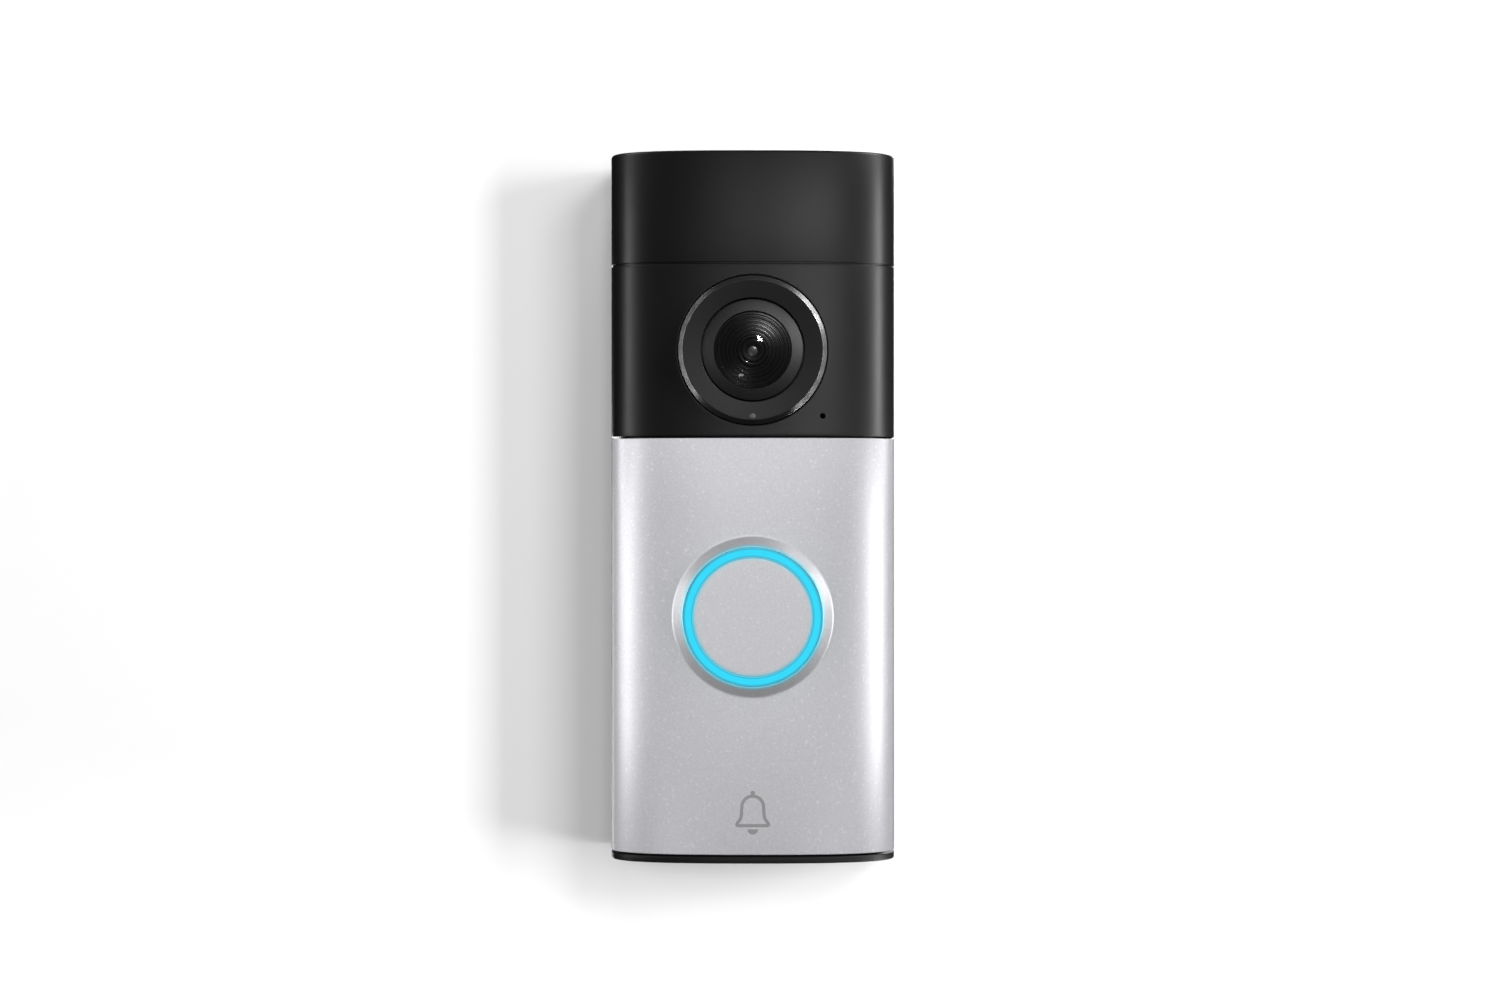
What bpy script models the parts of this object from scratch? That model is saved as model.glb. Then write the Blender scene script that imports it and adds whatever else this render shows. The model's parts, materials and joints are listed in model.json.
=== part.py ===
"""A slim hard-wired video doorbell for a wall.

The frame: +Z is up, -Y is out of the wall towards the visitor, and +X is to the right of someone facing the
doorbell.
The origin is the middle of the back face, which lies on the wall plane Y = 0.

All dimensions below are in millimetres. MM turns them into metres where a mesh or a location is made.
A "depth" is a distance out of the wall, so a point at depth d has Y = -d.
"""

import math

import bmesh
import bpy

MM = 0.001

# Outer body
HEIGHT = 115.0
HALF_WIDTH = 23.2
SIDE_DEPTH = 12.9  # the sides run straight out to here, then the crowned front begins
CROWN = 8.6  # how far the crowned front stands beyond the straight sides
ROUNDNESS = 2.75  # exponent of the superellipse that the crowned front follows
CROWN_STEPS = 24
SKIN = 1.2  # wall of the faceplate, camera panel and top cap
SKIRT_DEPTH = 3.0  # the skins stop this far off the wall and leave a shadow gap
TOP = HEIGHT / 2
BOTTOM = -HEIGHT / 2

# Levels of the outer joints, bottom to top
LIP_TOP = BOTTOM + 1.1
FACEPLATE_LOW = LIP_TOP + 0.3
FACEPLATE_HIGH = 11.1
PANEL_LOW = 11.4
PANEL_HIGH = 39.2
CAP_LOW = 39.5

# Sealed housing under the skins
BODY_HALF = 21.6
BODY_CROWN = 7.0
FLANGE_HALF = 22.4
BACK_WALL = 2.7
TUB_WALL = 1.6
TUB_RIM = 11.8
COVER_BACK = 12.8
COVER_WALL = 1.4
BODY_LOW = -54.8
BODY_HIGH = 55.4

# Fixings
COLUMN_X = 16.6
COLUMN_LEVELS = (4.5, -48.5)  # wall screws pass through here
COLUMN_RADIUS = 3.4
COLUMN_HOLE = 2.25
HOUSING_SCREW_LEVELS = {"upper": 47.0, "lower": -38.0}
HEAD_RECESS = 2.8
BOSS_RADIUS = 2.6
THREAD_HOLE = 1.3
LATCH_DEPTH = 8.0  # the security screw stands this far off the wall
STAR_HEAD = 2.3

# Wire pocket and terminals in the back
POCKET_HALF = 11.0
POCKET_LOW = -34.0
POCKET_HIGH = -14.0
POCKET_DEPTH = 7.3
POCKET_WALL = 1.2
BLOCK_HALF = 8.0
BLOCK_LOW = -22.0
BLOCK_HIGH = -15.5
TERMINAL_X = 4.1
TERMINAL_LEVEL = -18.75
TERMINAL_HOLE = 1.6

# Camera
CAMERA_LEVEL = 25.25
BEZEL_RADIUS = 12.0
BEZEL_DEPTH = 22.3
BEZEL_CHAMFER = 0.72
FLANGE_RADIUS = 13.2
FLANGE_BACK = 16.8
FLANGE_FRONT = 17.6
INFRARED_X = 10.05  # the two infrared lights stand this far to the sides of the lens
FILTER_TRAVEL = 4.8
SHUTTER_HALF = 3.2

# Button
BUTTON_LEVEL = -17.75
COLLAR_FOOT = 13.0
COLLAR_TOP = 11.6
COLLAR_HOLE = 11.35
COLLAR_DEPTH = 22.55
RING_OUTER = 11.15
RING_INNER = 9.75
RING_DEPTH = 22.5
CAP_RADIUS = 9.55
CAP_DEPTH = 22.45
CAP_UNDERSIDE = 19.6
LED_COUNT = 8
LED_CIRCLE = 10.45
LED_HALF = 0.6

# Microphone, loudspeaker and setup button
MIC_X = 11.3
MIC_LEVEL = 14.65
MIC_HOLE = 0.45
SPEAKER_LEVEL = -42.5
SPEAKER_RADIUS = 10.0
GRILLE_HOLE = 0.8
GRILLE_CIRCLES = ((0.0, 1), (3.2, 6), (6.2, 8))  # radius of each circle and how many holes stand on it
SETUP_X = -15.0
SETUP_LEVEL = -30.0
SETUP_STEM = 2.0

# Circuit boards
BOARD_BACK = 9.2
BOARD_FRONT = 10.4
CAMERA_BOARD_BACK = 5.0
CAMERA_BOARD_FRONT = 6.2
SENSOR_BOARD_BACK = 14.5
POST_GAP = 0.3
POST_RADIUS = 1.6

# Finishes: red, green, blue, roughness, metallic
FINISHES = {
    "satin_black": (0.018, 0.018, 0.020, 0.38, 0.0),
    "housing_black": (0.022, 0.022, 0.024, 0.55, 0.0),
    "matte_black": (0.008, 0.008, 0.009, 0.70, 0.0),
    "silver": (0.56, 0.56, 0.60, 0.36, 0.75),
    "ring_grey": (0.14, 0.14, 0.15, 0.35, 0.4),
    "clear_glass": (0.85, 0.88, 0.90, 0.03, 0.0),
    "coated_glass": (0.10, 0.07, 0.16, 0.03, 0.0),
    "light_blue": (0.03, 0.62, 1.00, 0.40, 0.0),
    "rubber": (0.03, 0.03, 0.03, 0.85, 0.0),
    "circuit_green": (0.02, 0.16, 0.07, 0.45, 0.0),
    "steel": (0.55, 0.55, 0.55, 0.30, 1.0),
    "brass": (0.72, 0.52, 0.22, 0.30, 1.0),
    "aluminium": (0.72, 0.73, 0.74, 0.35, 1.0),
    "ferrite": (0.06, 0.06, 0.065, 0.60, 0.0),
    "dark_sleeve": (0.05, 0.06, 0.10, 0.35, 0.0),
    "white_plastic": (0.80, 0.80, 0.78, 0.45, 0.0),
    "flex_film": (0.55, 0.30, 0.06, 0.35, 0.0),
    "thermal_grey": (0.36, 0.38, 0.42, 0.80, 0.0),
    "infrared_filter": (0.30, 0.05, 0.12, 0.05, 0.0),
    "cone_film": (0.10, 0.10, 0.10, 0.65, 0.0),
}


def clear_scene():
    for obj in list(bpy.data.objects):
        bpy.data.objects.remove(obj)


def material_for(name, finish):
    red, green, blue, roughness, metallic = FINISHES[finish]
    material = bpy.data.materials.new(name)
    material.use_nodes = True
    shader = material.node_tree.nodes["Principled BSDF"]
    shader.inputs["Base Color"].default_value = (red, green, blue, 1.0)
    shader.inputs["Roughness"].default_value = roughness
    shader.inputs["Metallic"].default_value = metallic
    return material


def make_object(name, bm, at):
    """Turns a millimetre mesh into a Blender object that stands at the given millimetre place."""
    bmesh.ops.recalc_face_normals(bm, faces=bm.faces)
    bmesh.ops.scale(bm, vec=(MM, MM, MM), verts=bm.verts)
    mesh = bpy.data.meshes.new(name)
    bm.to_mesh(mesh)
    bm.free()
    obj = bpy.data.objects.new(name, mesh)
    obj.location = [c * MM for c in at]
    bpy.context.scene.collection.objects.link(obj)
    return obj


def finish(obj, look, parent=None):
    """Gives a finished piece its material, smooth round faces and, if it moves, its parent."""
    obj.data.materials.clear()
    obj.data.materials.append(material_for(obj.name, look))
    obj.data.shade_smooth()
    obj.data.set_sharp_from_angle(angle=math.radians(30))
    if parent is not None:
        place = obj.location.copy()
        obj.parent = parent
        obj.location = place - parent.location
    return obj


def mover(name, at):
    """An empty on a joint's axis, which carries the pieces that move together."""
    empty = bpy.data.objects.new(name, None)
    empty.location = [c * MM for c in at]
    bpy.context.scene.collection.objects.link(empty)
    return empty


def block(name, x, depth, z):
    """A box between two x values, two depths and two levels."""
    middle = ((x[0] + x[1]) / 2, -(depth[0] + depth[1]) / 2, (z[0] + z[1]) / 2)
    bm = bmesh.new()
    bmesh.ops.create_cube(bm, size=1.0)
    bmesh.ops.scale(bm, vec=(x[1] - x[0], depth[1] - depth[0], z[1] - z[0]), verts=bm.verts)
    return make_object(name, bm, middle)


def prism(name, outline, low, high, at=(0, 0, 0)):
    """A plan outline of (x, y) points drawn upwards from one level to another."""
    bm = bmesh.new()
    face = bm.faces.new([bm.verts.new((x, y, low)) for x, y in outline])
    drawn = bmesh.ops.extrude_face_region(bm, geom=[face])
    top = [v for v in drawn["geom"] if isinstance(v, bmesh.types.BMVert)]
    bmesh.ops.translate(bm, vec=(0, 0, high - low), verts=top)
    return make_object(name, bm, at)


def turned(name, outline, x, z, segments=16):
    """A round piece on an axis out of the wall: its outline is (radius, depth) points.

    An outline that starts and ends at radius 0 is solid in the middle, any other is a closed ring.
    """
    bm = bmesh.new()
    points = [bm.verts.new((radius, -depth, 0)) for radius, depth in outline]
    edges = [bm.edges.new(pair) for pair in zip(points, points[1:])]
    if outline[0][0] > 0:
        edges.append(bm.edges.new((points[-1], points[0])))
    full_turn = {"cent": (0, 0, 0), "axis": (0, 1, 0), "angle": 2 * math.pi, "use_merge": True}
    bmesh.ops.spin(bm, geom=points + edges, steps=segments, **full_turn)
    bmesh.ops.remove_doubles(bm, verts=bm.verts, dist=1e-5)
    return make_object(name, bm, (x, 0, z))


def peg(name, x, z, radius, back, front, segments=14):
    """A plain round peg along the wall's normal, from one depth to another."""
    return turned(name, [(0, back), (radius, back), (radius, front), (0, front)], x, z, segments)


def upright(name, x, depth, radius, low, high, segments=14):
    """A plain round peg along Z."""
    bm = bmesh.new()
    bmesh.ops.create_cone(
        bm, cap_ends=True, segments=segments, radius1=radius, radius2=radius, depth=high - low
    )
    return make_object(name, bm, (x, -depth, (low + high) / 2))


def shape(target, operation, tools):
    """Joins tools to a piece or cuts them out of it, one after another, and removes the tools."""
    for tool in tools:
        change = target.modifiers.new(operation, "BOOLEAN")
        change.operation = operation
        change.solver = "EXACT"
        change.object = tool
        evaluated = target.evaluated_get(bpy.context.evaluated_depsgraph_get())
        mesh = bpy.data.meshes.new_from_object(evaluated)
        target.modifiers.clear()
        target.data = mesh
        bpy.data.objects.remove(tool)
    return target


def weld(target, *tools):
    return shape(target, "UNION", tools)


def carve(target, *tools):
    return shape(target, "DIFFERENCE", tools)


def crown(half, rise):
    """The crowned front from right to left: a superellipse on top of the straight sides."""
    power = 2 / ROUNDNESS
    points = []
    for step in range(CROWN_STEPS + 1):
        turn = math.pi * step / CROWN_STEPS
        across = math.cos(turn)
        x = math.copysign(abs(across) ** power, across) * half
        lift = rise * math.sin(turn) ** power if 0 < step < CROWN_STEPS else 0.0
        points.append((x, -SIDE_DEPTH - lift))
    return points


def full_section(half, rise, back):
    """The whole section from a back depth to the crown."""
    return [(half, -back)] + crown(half, rise) + [(-half, -back)]


def skin_section():
    """The section of an outer skin: a thin wall round both sides and the crown."""
    outer = full_section(HALF_WIDTH, CROWN, SKIRT_DEPTH)
    inner = full_section(HALF_WIDTH - SKIN, CROWN - SKIN, SKIRT_DEPTH)
    return outer + inner[::-1]


def mirrored(x):
    """The two places at -x and x with the names of their sides."""
    return ((-x, "left"), (x, "right"))


def column_places():
    """The (x, z) places of the four wall-screw columns."""
    return [(x, level) for level in COLUMN_LEVELS for x in (-COLUMN_X, COLUMN_X)]


def boss_places():
    """The (x, z) places of the four screws that hold the two halves of the housing together."""
    return [(x, level) for level in HOUSING_SCREW_LEVELS.values() for x in (-COLUMN_X, COLUMN_X)]


# ---------------------------------------------------------------- housing


def rear_housing():
    """The tub: back wall, side walls, wall-screw columns, wire pocket and the crowned bottom lip."""
    tub = block("rear_housing", (-FLANGE_HALF, FLANGE_HALF), (0, BACK_WALL), (BOTTOM, TOP))
    weld(tub, block("walls", (-BODY_HALF, BODY_HALF), (1.0, TUB_RIM), (BODY_LOW, BODY_HIGH)))
    inside = BODY_HALF - TUB_WALL
    levels = (BODY_LOW + TUB_WALL, BODY_HIGH - TUB_WALL)
    carve(tub, block("room", (-inside, inside), (BACK_WALL, TUB_RIM + 1), levels))
    weld(tub, prism("lip", full_section(HALF_WIDTH, CROWN, 1.0), BOTTOM, LIP_TOP))
    for x, z in column_places():
        weld(tub, peg("column", x, z, COLUMN_RADIUS, 1.0, TUB_RIM - 0.3))
        carve(tub, peg("column_hole", x, z, COLUMN_HOLE, -1.0, TUB_RIM + 1))
    add_wire_pocket(tub)
    add_posts(tub)
    for x, z in boss_places():
        carve(tub, peg("head_recess", x, z, HEAD_RECESS, -1.0, 1.6))
        carve(tub, peg("screw_hole", x, z, THREAD_HOLE, 0.5, BACK_WALL + 1))
    add_latch_boss(tub)
    finish(tub, "housing_black")


def add_latch_boss(tub):
    """The boss at the foot that the security screw goes into, through a wide mouth in the lip."""
    weld(tub, block("latch_boss", (-3.0, 3.0), (5.0, 11.0), (BODY_LOW + 0.5, -50.5)))
    carve(tub, upright("latch_thread", 0, LATCH_DEPTH, THREAD_HOLE, BODY_LOW - 0.8, -49.0))
    carve(tub, upright("latch_mouth", 0, LATCH_DEPTH, STAR_HEAD + 0.3, BOTTOM - 1, LIP_TOP + 0.5))


def add_wire_pocket(tub):
    """The pocket in the back that the bell wires come into, with a window for the terminal block."""
    half = POCKET_HALF + POCKET_WALL
    floor = POCKET_DEPTH + POCKET_WALL
    outer_levels = (POCKET_LOW - POCKET_WALL, POCKET_HIGH + POCKET_WALL)
    weld(tub, block("pocket", (-half, half), (1.0, floor), outer_levels))
    inner_levels = (POCKET_LOW, POCKET_HIGH)
    carve(tub, block("pocket_room", (-POCKET_HALF, POCKET_HALF), (-1.0, POCKET_DEPTH), inner_levels))
    window = BLOCK_HALF + 0.3
    window_levels = (BLOCK_LOW - 0.3, BLOCK_HIGH + 0.3)
    carve(tub, block("block_window", (-window, window), (POCKET_DEPTH - 1, floor + 1), window_levels))


def add_posts(tub):
    """Pairs of posts that the main board, the camera board and the motion sensor's board rest on."""
    for across, level, rest in (
        (16.5, -25.0, BOARD_BACK),
        (11.0, 15.5, CAMERA_BOARD_BACK),
        (11.0, 36.0, CAMERA_BOARD_BACK),
        (8.0, 47.5, SENSOR_BOARD_BACK),
    ):
        for x in (-across, across):
            weld(tub, peg("post", x, level, POST_RADIUS, 1.5, rest - POST_GAP, 12))


def inner_front_cover():
    """The sealed front half under the skins, open for the camera, the button and the screws."""
    cover = prism("inner_front_cover", full_section(BODY_HALF, BODY_CROWN, COVER_BACK), BODY_LOW, BODY_HIGH)
    room = full_section(BODY_HALF - COVER_WALL, BODY_CROWN - COVER_WALL, COVER_BACK - 1)
    carve(cover, prism("cover_room", room, BODY_LOW + COVER_WALL, BODY_HIGH - COVER_WALL))
    carve(cover, peg("camera_opening", 0, CAMERA_LEVEL, 13.6, 12.0, 24.0, 28))
    carve(cover, peg("button_opening", 0, BUTTON_LEVEL, 12.0, 12.0, 24.0, 28))
    carve(cover, peg("mic_opening", MIC_X, MIC_LEVEL, 1.6, 12.0, 24.0, 10))
    carve(cover, peg("setup_opening", SETUP_X, SETUP_LEVEL, SETUP_STEM + 0.35, 12.0, 24.0, 12))
    for x, z in column_places():
        carve(cover, peg("screw_access", x, z, COLUMN_RADIUS + 0.4, 12.0, 24.0))
    for x, z in boss_places():
        weld(cover, peg("boss", x, z, BOSS_RADIUS, BACK_WALL + 0.4, 17.1, 12))
        carve(cover, peg("boss_hole", x, z, THREAD_HOLE, 2.0, 9.5, 10))
    for radius, count in GRILLE_CIRCLES:
        for k in range(count):
            turn = 2 * math.pi * k / count
            x, z = radius * math.cos(turn), SPEAKER_LEVEL + radius * math.sin(turn)
            carve(cover, peg("grille_hole", x, z, GRILLE_HOLE, 12.0, 24.0, 6))
    finish(cover, "housing_black")


def housing_gasket():
    """The seal between the tub's rim and the inner front cover."""
    back, front = TUB_RIM + 0.3, COVER_BACK - 0.3
    seal = block("housing_gasket", (-21.4, 21.4), (back, front), (BODY_LOW + 0.2, BODY_HIGH - 0.2))
    carve(seal, block("seal_room", (-20.3, 20.3), (back - 1, front + 1), (BODY_LOW + 1.3, BODY_HIGH - 1.3)))
    finish(seal, "rubber")


def top_cap():
    """The black cover over the top end, closed on top and open below and behind."""
    cap = prism("top_cap", full_section(HALF_WIDTH, CROWN, SKIRT_DEPTH), CAP_LOW, TOP)
    room = full_section(HALF_WIDTH - SKIN, CROWN - SKIN, SKIRT_DEPTH - 1)
    carve(cap, prism("cap_room", room, CAP_LOW - 1, TOP - SKIN))
    finish(cap, "satin_black")


def camera_panel():
    """The black band round the camera, with a flat-backed ring inside that the bezel seals against."""
    panel = prism("camera_panel", skin_section(), PANEL_LOW, PANEL_HIGH)
    weld(panel, peg("seat", 0, CAMERA_LEVEL, 13.3, 18.6, 20.7, 32))
    carve(panel, peg("camera_hole", 0, CAMERA_LEVEL, BEZEL_RADIUS + 0.15, 12.0, 24.0, 36))
    carve(panel, peg("mic_hole", MIC_X, MIC_LEVEL, MIC_HOLE, 12.0, 24.0, 10))
    finish(panel, "satin_black")


def housing_screws():
    """Four pan-head screws from the back into the inner front cover's bosses."""
    outline = [(0, 0.2), (2.0, 0.2), (2.3, 0.6), (2.3, 1.3), (1.0, 1.3), (1.0, 8.8), (0, 8.8)]
    slot_long, slot_wide = 1.2, 0.3
    for row, level in HOUSING_SCREW_LEVELS.items():
        for x, side in mirrored(COLUMN_X):
            screw = turned(f"housing_screw_{row}_{side}", outline, x, level, 12)
            for dx, dz in ((slot_long, slot_wide), (slot_wide, slot_long)):
                carve(screw, block("slot", (x - dx, x + dx), (-0.5, 0.8), (level - dz, level + dz)))
            finish(screw, "steel")


# ---------------------------------------------------------------- faceplate


def faceplate(carrier):
    """The silver front skin, with the raised collar round the button."""
    plate = prism("faceplate", skin_section(), FACEPLATE_LOW, FACEPLATE_HIGH)
    foot_depth = SIDE_DEPTH + CROWN - 0.05
    foot = [(0, 20.0), (COLLAR_FOOT, 20.0), (COLLAR_FOOT, foot_depth)]
    crest = [(COLLAR_TOP, COLLAR_DEPTH), (0, COLLAR_DEPTH)]
    weld(plate, turned("collar", foot + crest, 0, BUTTON_LEVEL, 36))
    carve(plate, peg("ring_hole", 0, BUTTON_LEVEL, COLLAR_HOLE, 12.0, 24.0, 36))
    finish(plate, "silver", carrier)


def faceplate_latch(carrier):
    """The fork inside the faceplate's foot that the security screw clamps. It is open to the back."""
    low, high = FACEPLATE_LOW, BODY_LOW - 0.3
    fork = block("faceplate_latch", (-12.0, 12.0), (5.5, 19.3), (low, high))
    carve(fork, block("fork_slot", (-1.4, 1.4), (4.0, LATCH_DEPTH), (low - 1, high + 1)))
    carve(fork, upright("fork_end", 0, LATCH_DEPTH, 1.4, low - 1, high + 1, 16))
    finish(fork, "housing_black", carrier)


def security_screw():
    """The star-head screw that comes up through the bottom lip."""
    low = BOTTOM + 0.2
    screw = upright("security_screw", 0, LATCH_DEPTH, STAR_HEAD, low, LIP_TOP)
    weld(screw, upright("shank", 0, LATCH_DEPTH, 1.0, LIP_TOP - 0.3, -51.5, 16))
    carve(screw, upright("drive", 0, LATCH_DEPTH, 1.1, low - 0.5, low + 0.6, 6))
    finish(screw, "steel")


# ---------------------------------------------------------------- camera


def camera_bezel():
    """The raised round bezel: a chamfered disc with a flange that sits behind the panel."""
    face, rim, back = BEZEL_DEPTH, BEZEL_RADIUS, FLANGE_BACK
    front = [(8.4, face), (rim - BEZEL_CHAMFER, face), (rim, face - BEZEL_CHAMFER), (rim, FLANGE_FRONT)]
    flange = [(FLANGE_RADIUS, FLANGE_FRONT), (FLANGE_RADIUS, back)]
    light_channel = [(10.8, back), (10.8, 21.1), (9.3, 21.1), (9.3, back)]
    ring_seat = [(7.2, back), (7.2, 20.7), (8.4, 20.7)]
    outline = front + flange + light_channel + ring_seat
    finish(turned("camera_bezel", outline, 0, CAMERA_LEVEL, 36), "satin_black")


def lens_stack():
    """Everything round the lens that stands on the camera's axis, from the outside in."""
    hood_back = 15.5
    ledge_radii = (6.1, 5.2, 4.3, 3.4, 2.4)
    ledge_depths = (20.7, 19.75, 18.8, 17.85, 16.9, hood_back)
    hood = [(6.9, hood_back), (6.9, ledge_depths[0])]
    for k, radius in enumerate(ledge_radii):
        hood.append((radius, ledge_depths[k]))
        hood.append((radius, ledge_depths[k + 1]))
    dome_inside = [(0, 22.0), (3.4, 21.7), (5.5, 21.0)]
    dome_outside = [(6.2, 21.0), (6.2, 21.8), (5.3, 22.2), (3.7, 22.6), (1.9, 22.85), (0, 22.95)]
    nose = [(1.3, 16.2), (1.6, 16.2), (1.6, 17.3), (2.1, 17.3), (2.1, 15.2)]
    barrel = nose + [(3.8, 15.2), (3.8, 10.3), (3.0, 10.3), (3.0, 14.4), (1.3, 14.4)]
    front_lens = [(0, 16.45), (1.35, 16.45), (1.35, 16.8), (0.8, 17.05), (0, 17.15)]
    ring_crest = [(8.15, 21.9), (7.7, 22.15), (7.2, 22.25), (6.75, 22.15), (6.35, 21.95)]
    ring = [(6.35, 21.0), (8.15, 21.0)] + ring_crest
    gasket = [(12.3, 17.9), (FLANGE_RADIUS, 17.9), (FLANGE_RADIUS, 18.3), (12.3, 18.3)]
    for name, outline, look, segments in (
        ("bezel_gasket", gasket, "rubber", 20),
        ("lens_ring", ring, "ring_grey", 28),
        ("lens_window", dome_inside + dome_outside, "clear_glass", 24),
        ("lens_hood", hood, "matte_black", 20),
        ("lens_barrel", barrel, "matte_black", 14),
        ("front_lens", front_lens, "coated_glass", 14),
    ):
        finish(turned(name, outline, 0, CAMERA_LEVEL, segments), look)


def lens_holder():
    """The block that carries the barrel over the image sensor, with the shutter's channel across it."""
    low, high = CAMERA_LEVEL - 5.6, CAMERA_LEVEL + 5.6
    holder = block("lens_holder", (-9.3, 9.3), (6.5, 14.0), (low, high))
    bore = [(0, 5.5), (3.0, 5.5), (3.0, 10.0), (4.1, 10.0), (4.1, 15.0), (0, 15.0)]
    carve(holder, turned("stepped_bore", bore, 0, CAMERA_LEVEL, 16))
    half = SHUTTER_HALF + 0.3
    carve(holder, block("channel", (-8.2, 8.2), (8.3, 9.7), (CAMERA_LEVEL - half, CAMERA_LEVEL + half)))
    half = 4.6
    carve(holder, block("sensor_room", (-half, half), (5.5, 7.8), (CAMERA_LEVEL - half, CAMERA_LEVEL + half)))
    finish(holder, "matte_black")


def infrared_shutter():
    """The sliding frame with the daylight filter, which moves aside at night."""
    slider = mover("ir_cut_slider", (0, -9.0, CAMERA_LEVEL))
    levels = (CAMERA_LEVEL - SHUTTER_HALF, CAMERA_LEVEL + SHUTTER_HALF)
    frame = block("ir_cut_frame", (-3.1, 7.9), (8.6, 9.4), levels)
    for x in (0.0, FILTER_TRAVEL):
        carve(frame, peg("window", x, CAMERA_LEVEL, 2.1, 8.0, 10.0, 16))
    finish(frame, "matte_black", slider)
    finish(peg("ir_cut_filter", 0, CAMERA_LEVEL, 1.8, 8.7, 9.3, 16), "infrared_filter", slider)
    finish(block("ir_cut_coil", (-4.0, 4.0), (6.5, 10.5), (31.2, 34.2)), "brass")


def camera_electronics():
    """The image sensor and its board, the infrared lights beside the lens, and the microphone."""
    half = 4.2
    sensor = block("image_sensor", (-half, half), (6.5, 7.5), (CAMERA_LEVEL - half, CAMERA_LEVEL + half))
    finish(sensor, "dark_sleeve")
    board = block("camera_board", (-13.2, 13.2), (CAMERA_BOARD_BACK, CAMERA_BOARD_FRONT), (13.0, 38.5))
    finish(board, "circuit_green")
    ring = [(7.4, 15.5), (13.0, 15.5), (13.0, 16.5), (7.4, 16.5)]
    finish(turned("ir_led_board", ring, 0, CAMERA_LEVEL, 20), "circuit_green")
    emitter = [(0, 16.8), (0.65, 16.8), (0.65, 19.9), (0.4, 20.3), (0, 20.4)]
    for x, side in mirrored(INFRARED_X):
        finish(turned(f"ir_led_{side}", emitter, x, CAMERA_LEVEL, 10), "infrared_filter")
    boot = [(MIC_HOLE, 16.8), (1.2, 16.8), (1.2, 19.3), (MIC_HOLE, 19.3)]
    finish(turned("mic_boot", boot, MIC_X, MIC_LEVEL, 10), "rubber")
    levels = (MIC_LEVEL - 1.2, MIC_LEVEL + 1.2)
    finish(block("microphone", (MIC_X - 1.6, MIC_X + 1.6), (15.5, 16.5), levels), "steel")


# ---------------------------------------------------------------- button


def light_ring():
    """The diffuser that glows round the button."""
    edge, back = 0.15, 17.6
    outer_side = [(RING_OUTER, back), (RING_OUTER, RING_DEPTH - edge), (RING_OUTER - edge, RING_DEPTH)]
    inner_side = [(RING_INNER + edge, RING_DEPTH), (RING_INNER, RING_DEPTH - edge), (RING_INNER, back)]
    finish(turned("light_ring", outer_side + inner_side, 0, BUTTON_LEVEL, 36), "light_blue")


def button(carrier):
    """The silver cap with its stem, and the switch plunger that it pushes."""
    edge = 0.25
    stem = [(0, 18.2), (2.5, 18.2), (2.5, 21.0), (8.4, 21.0)]
    rim = [(8.4, CAP_UNDERSIDE), (CAP_RADIUS, CAP_UNDERSIDE), (CAP_RADIUS, CAP_DEPTH - edge)]
    face = [(CAP_RADIUS - edge, CAP_DEPTH), (0, CAP_DEPTH)]
    finish(turned("button_cap", stem + rim + face, 0, BUTTON_LEVEL, 36), "silver", carrier)
    finish(peg("switch_plunger", 0, BUTTON_LEVEL, 1.4, 16.6, 17.9, 16), "white_plastic", carrier)


def button_carrier():
    """The moulding behind the light ring, pierced in front of each light."""
    top = [(3.4, 17.9), (9.45, 17.9), (9.45, 17.3)]
    rim = [(14.0, 17.3), (14.0, 16.3), (9.3, 16.3)]
    skirt = [(9.3, 15.2), (8.5, 15.2), (8.5, 17.4), (3.4, 17.4)]
    moulding = turned("button_carrier", top + rim + skirt, 0, BUTTON_LEVEL, 24)
    for x, z in led_places():
        carve(moulding, peg("light_window", x, z, 0.75, 15.8, 18.0, 6))
    finish(moulding, "white_plastic")


def led_places():
    """The (x, z) places of the lights under the ring."""
    turns = [2 * math.pi * (k + 0.5) / LED_COUNT for k in range(LED_COUNT)]
    return [(LED_CIRCLE * math.cos(t), BUTTON_LEVEL + LED_CIRCLE * math.sin(t)) for t in turns]


def button_electronics():
    """Behind the button: its seal, the board with the ring's lights, the switch and a connector."""
    seal = [(2.9, 18.2), (9.4, 18.2), (9.4, 18.7), (2.9, 18.7)]
    finish(turned("button_seal", seal, 0, BUTTON_LEVEL, 20), "rubber")
    board = peg("ring_led_board", 0, BUTTON_LEVEL, 12.8, 13.8, 14.8, 24)
    for x, z in led_places():
        weld(board, block("led", (x - LED_HALF, x + LED_HALF), (14.5, 15.6), (z - LED_HALF, z + LED_HALF)))
    finish(board, "circuit_green")
    switch = block("tactile_switch", (-3.0, 3.0), (15.1, 17.0), (BUTTON_LEVEL - 3.0, BUTTON_LEVEL + 3.0))
    carve(switch, peg("plunger_room", 0, BUTTON_LEVEL, 1.7, 15.8, 18.0, 16))
    finish(switch, "steel")
    levels = (BUTTON_LEVEL - 1.5, BUTTON_LEVEL + 1.5)
    finish(block("board_connector", (-4.0, 4.0), (10.7, 13.5), levels), "white_plastic")


# ---------------------------------------------------------------- main electronics


def main_board():
    """The main circuit board, notched round the screw columns and bosses."""
    board = block("main_board", (-19.3, 19.3), (BOARD_BACK, BOARD_FRONT), (-52.6, 9.5))
    for x, z in column_places():
        carve(board, peg("column_notch", x, z, COLUMN_RADIUS + 0.5, 8.0, 12.0, 10))
    for x in (-COLUMN_X, COLUMN_X):
        carve(board, peg("boss_notch", x, HOUSING_SCREW_LEVELS["lower"], BOSS_RADIUS + 0.4, 8.0, 12.0, 10))
    carve(board, block("latch_notch", (-4.0, 4.0), (8.0, 12.0), (-54.0, -50.0)))
    finish(board, "circuit_green")


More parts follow.
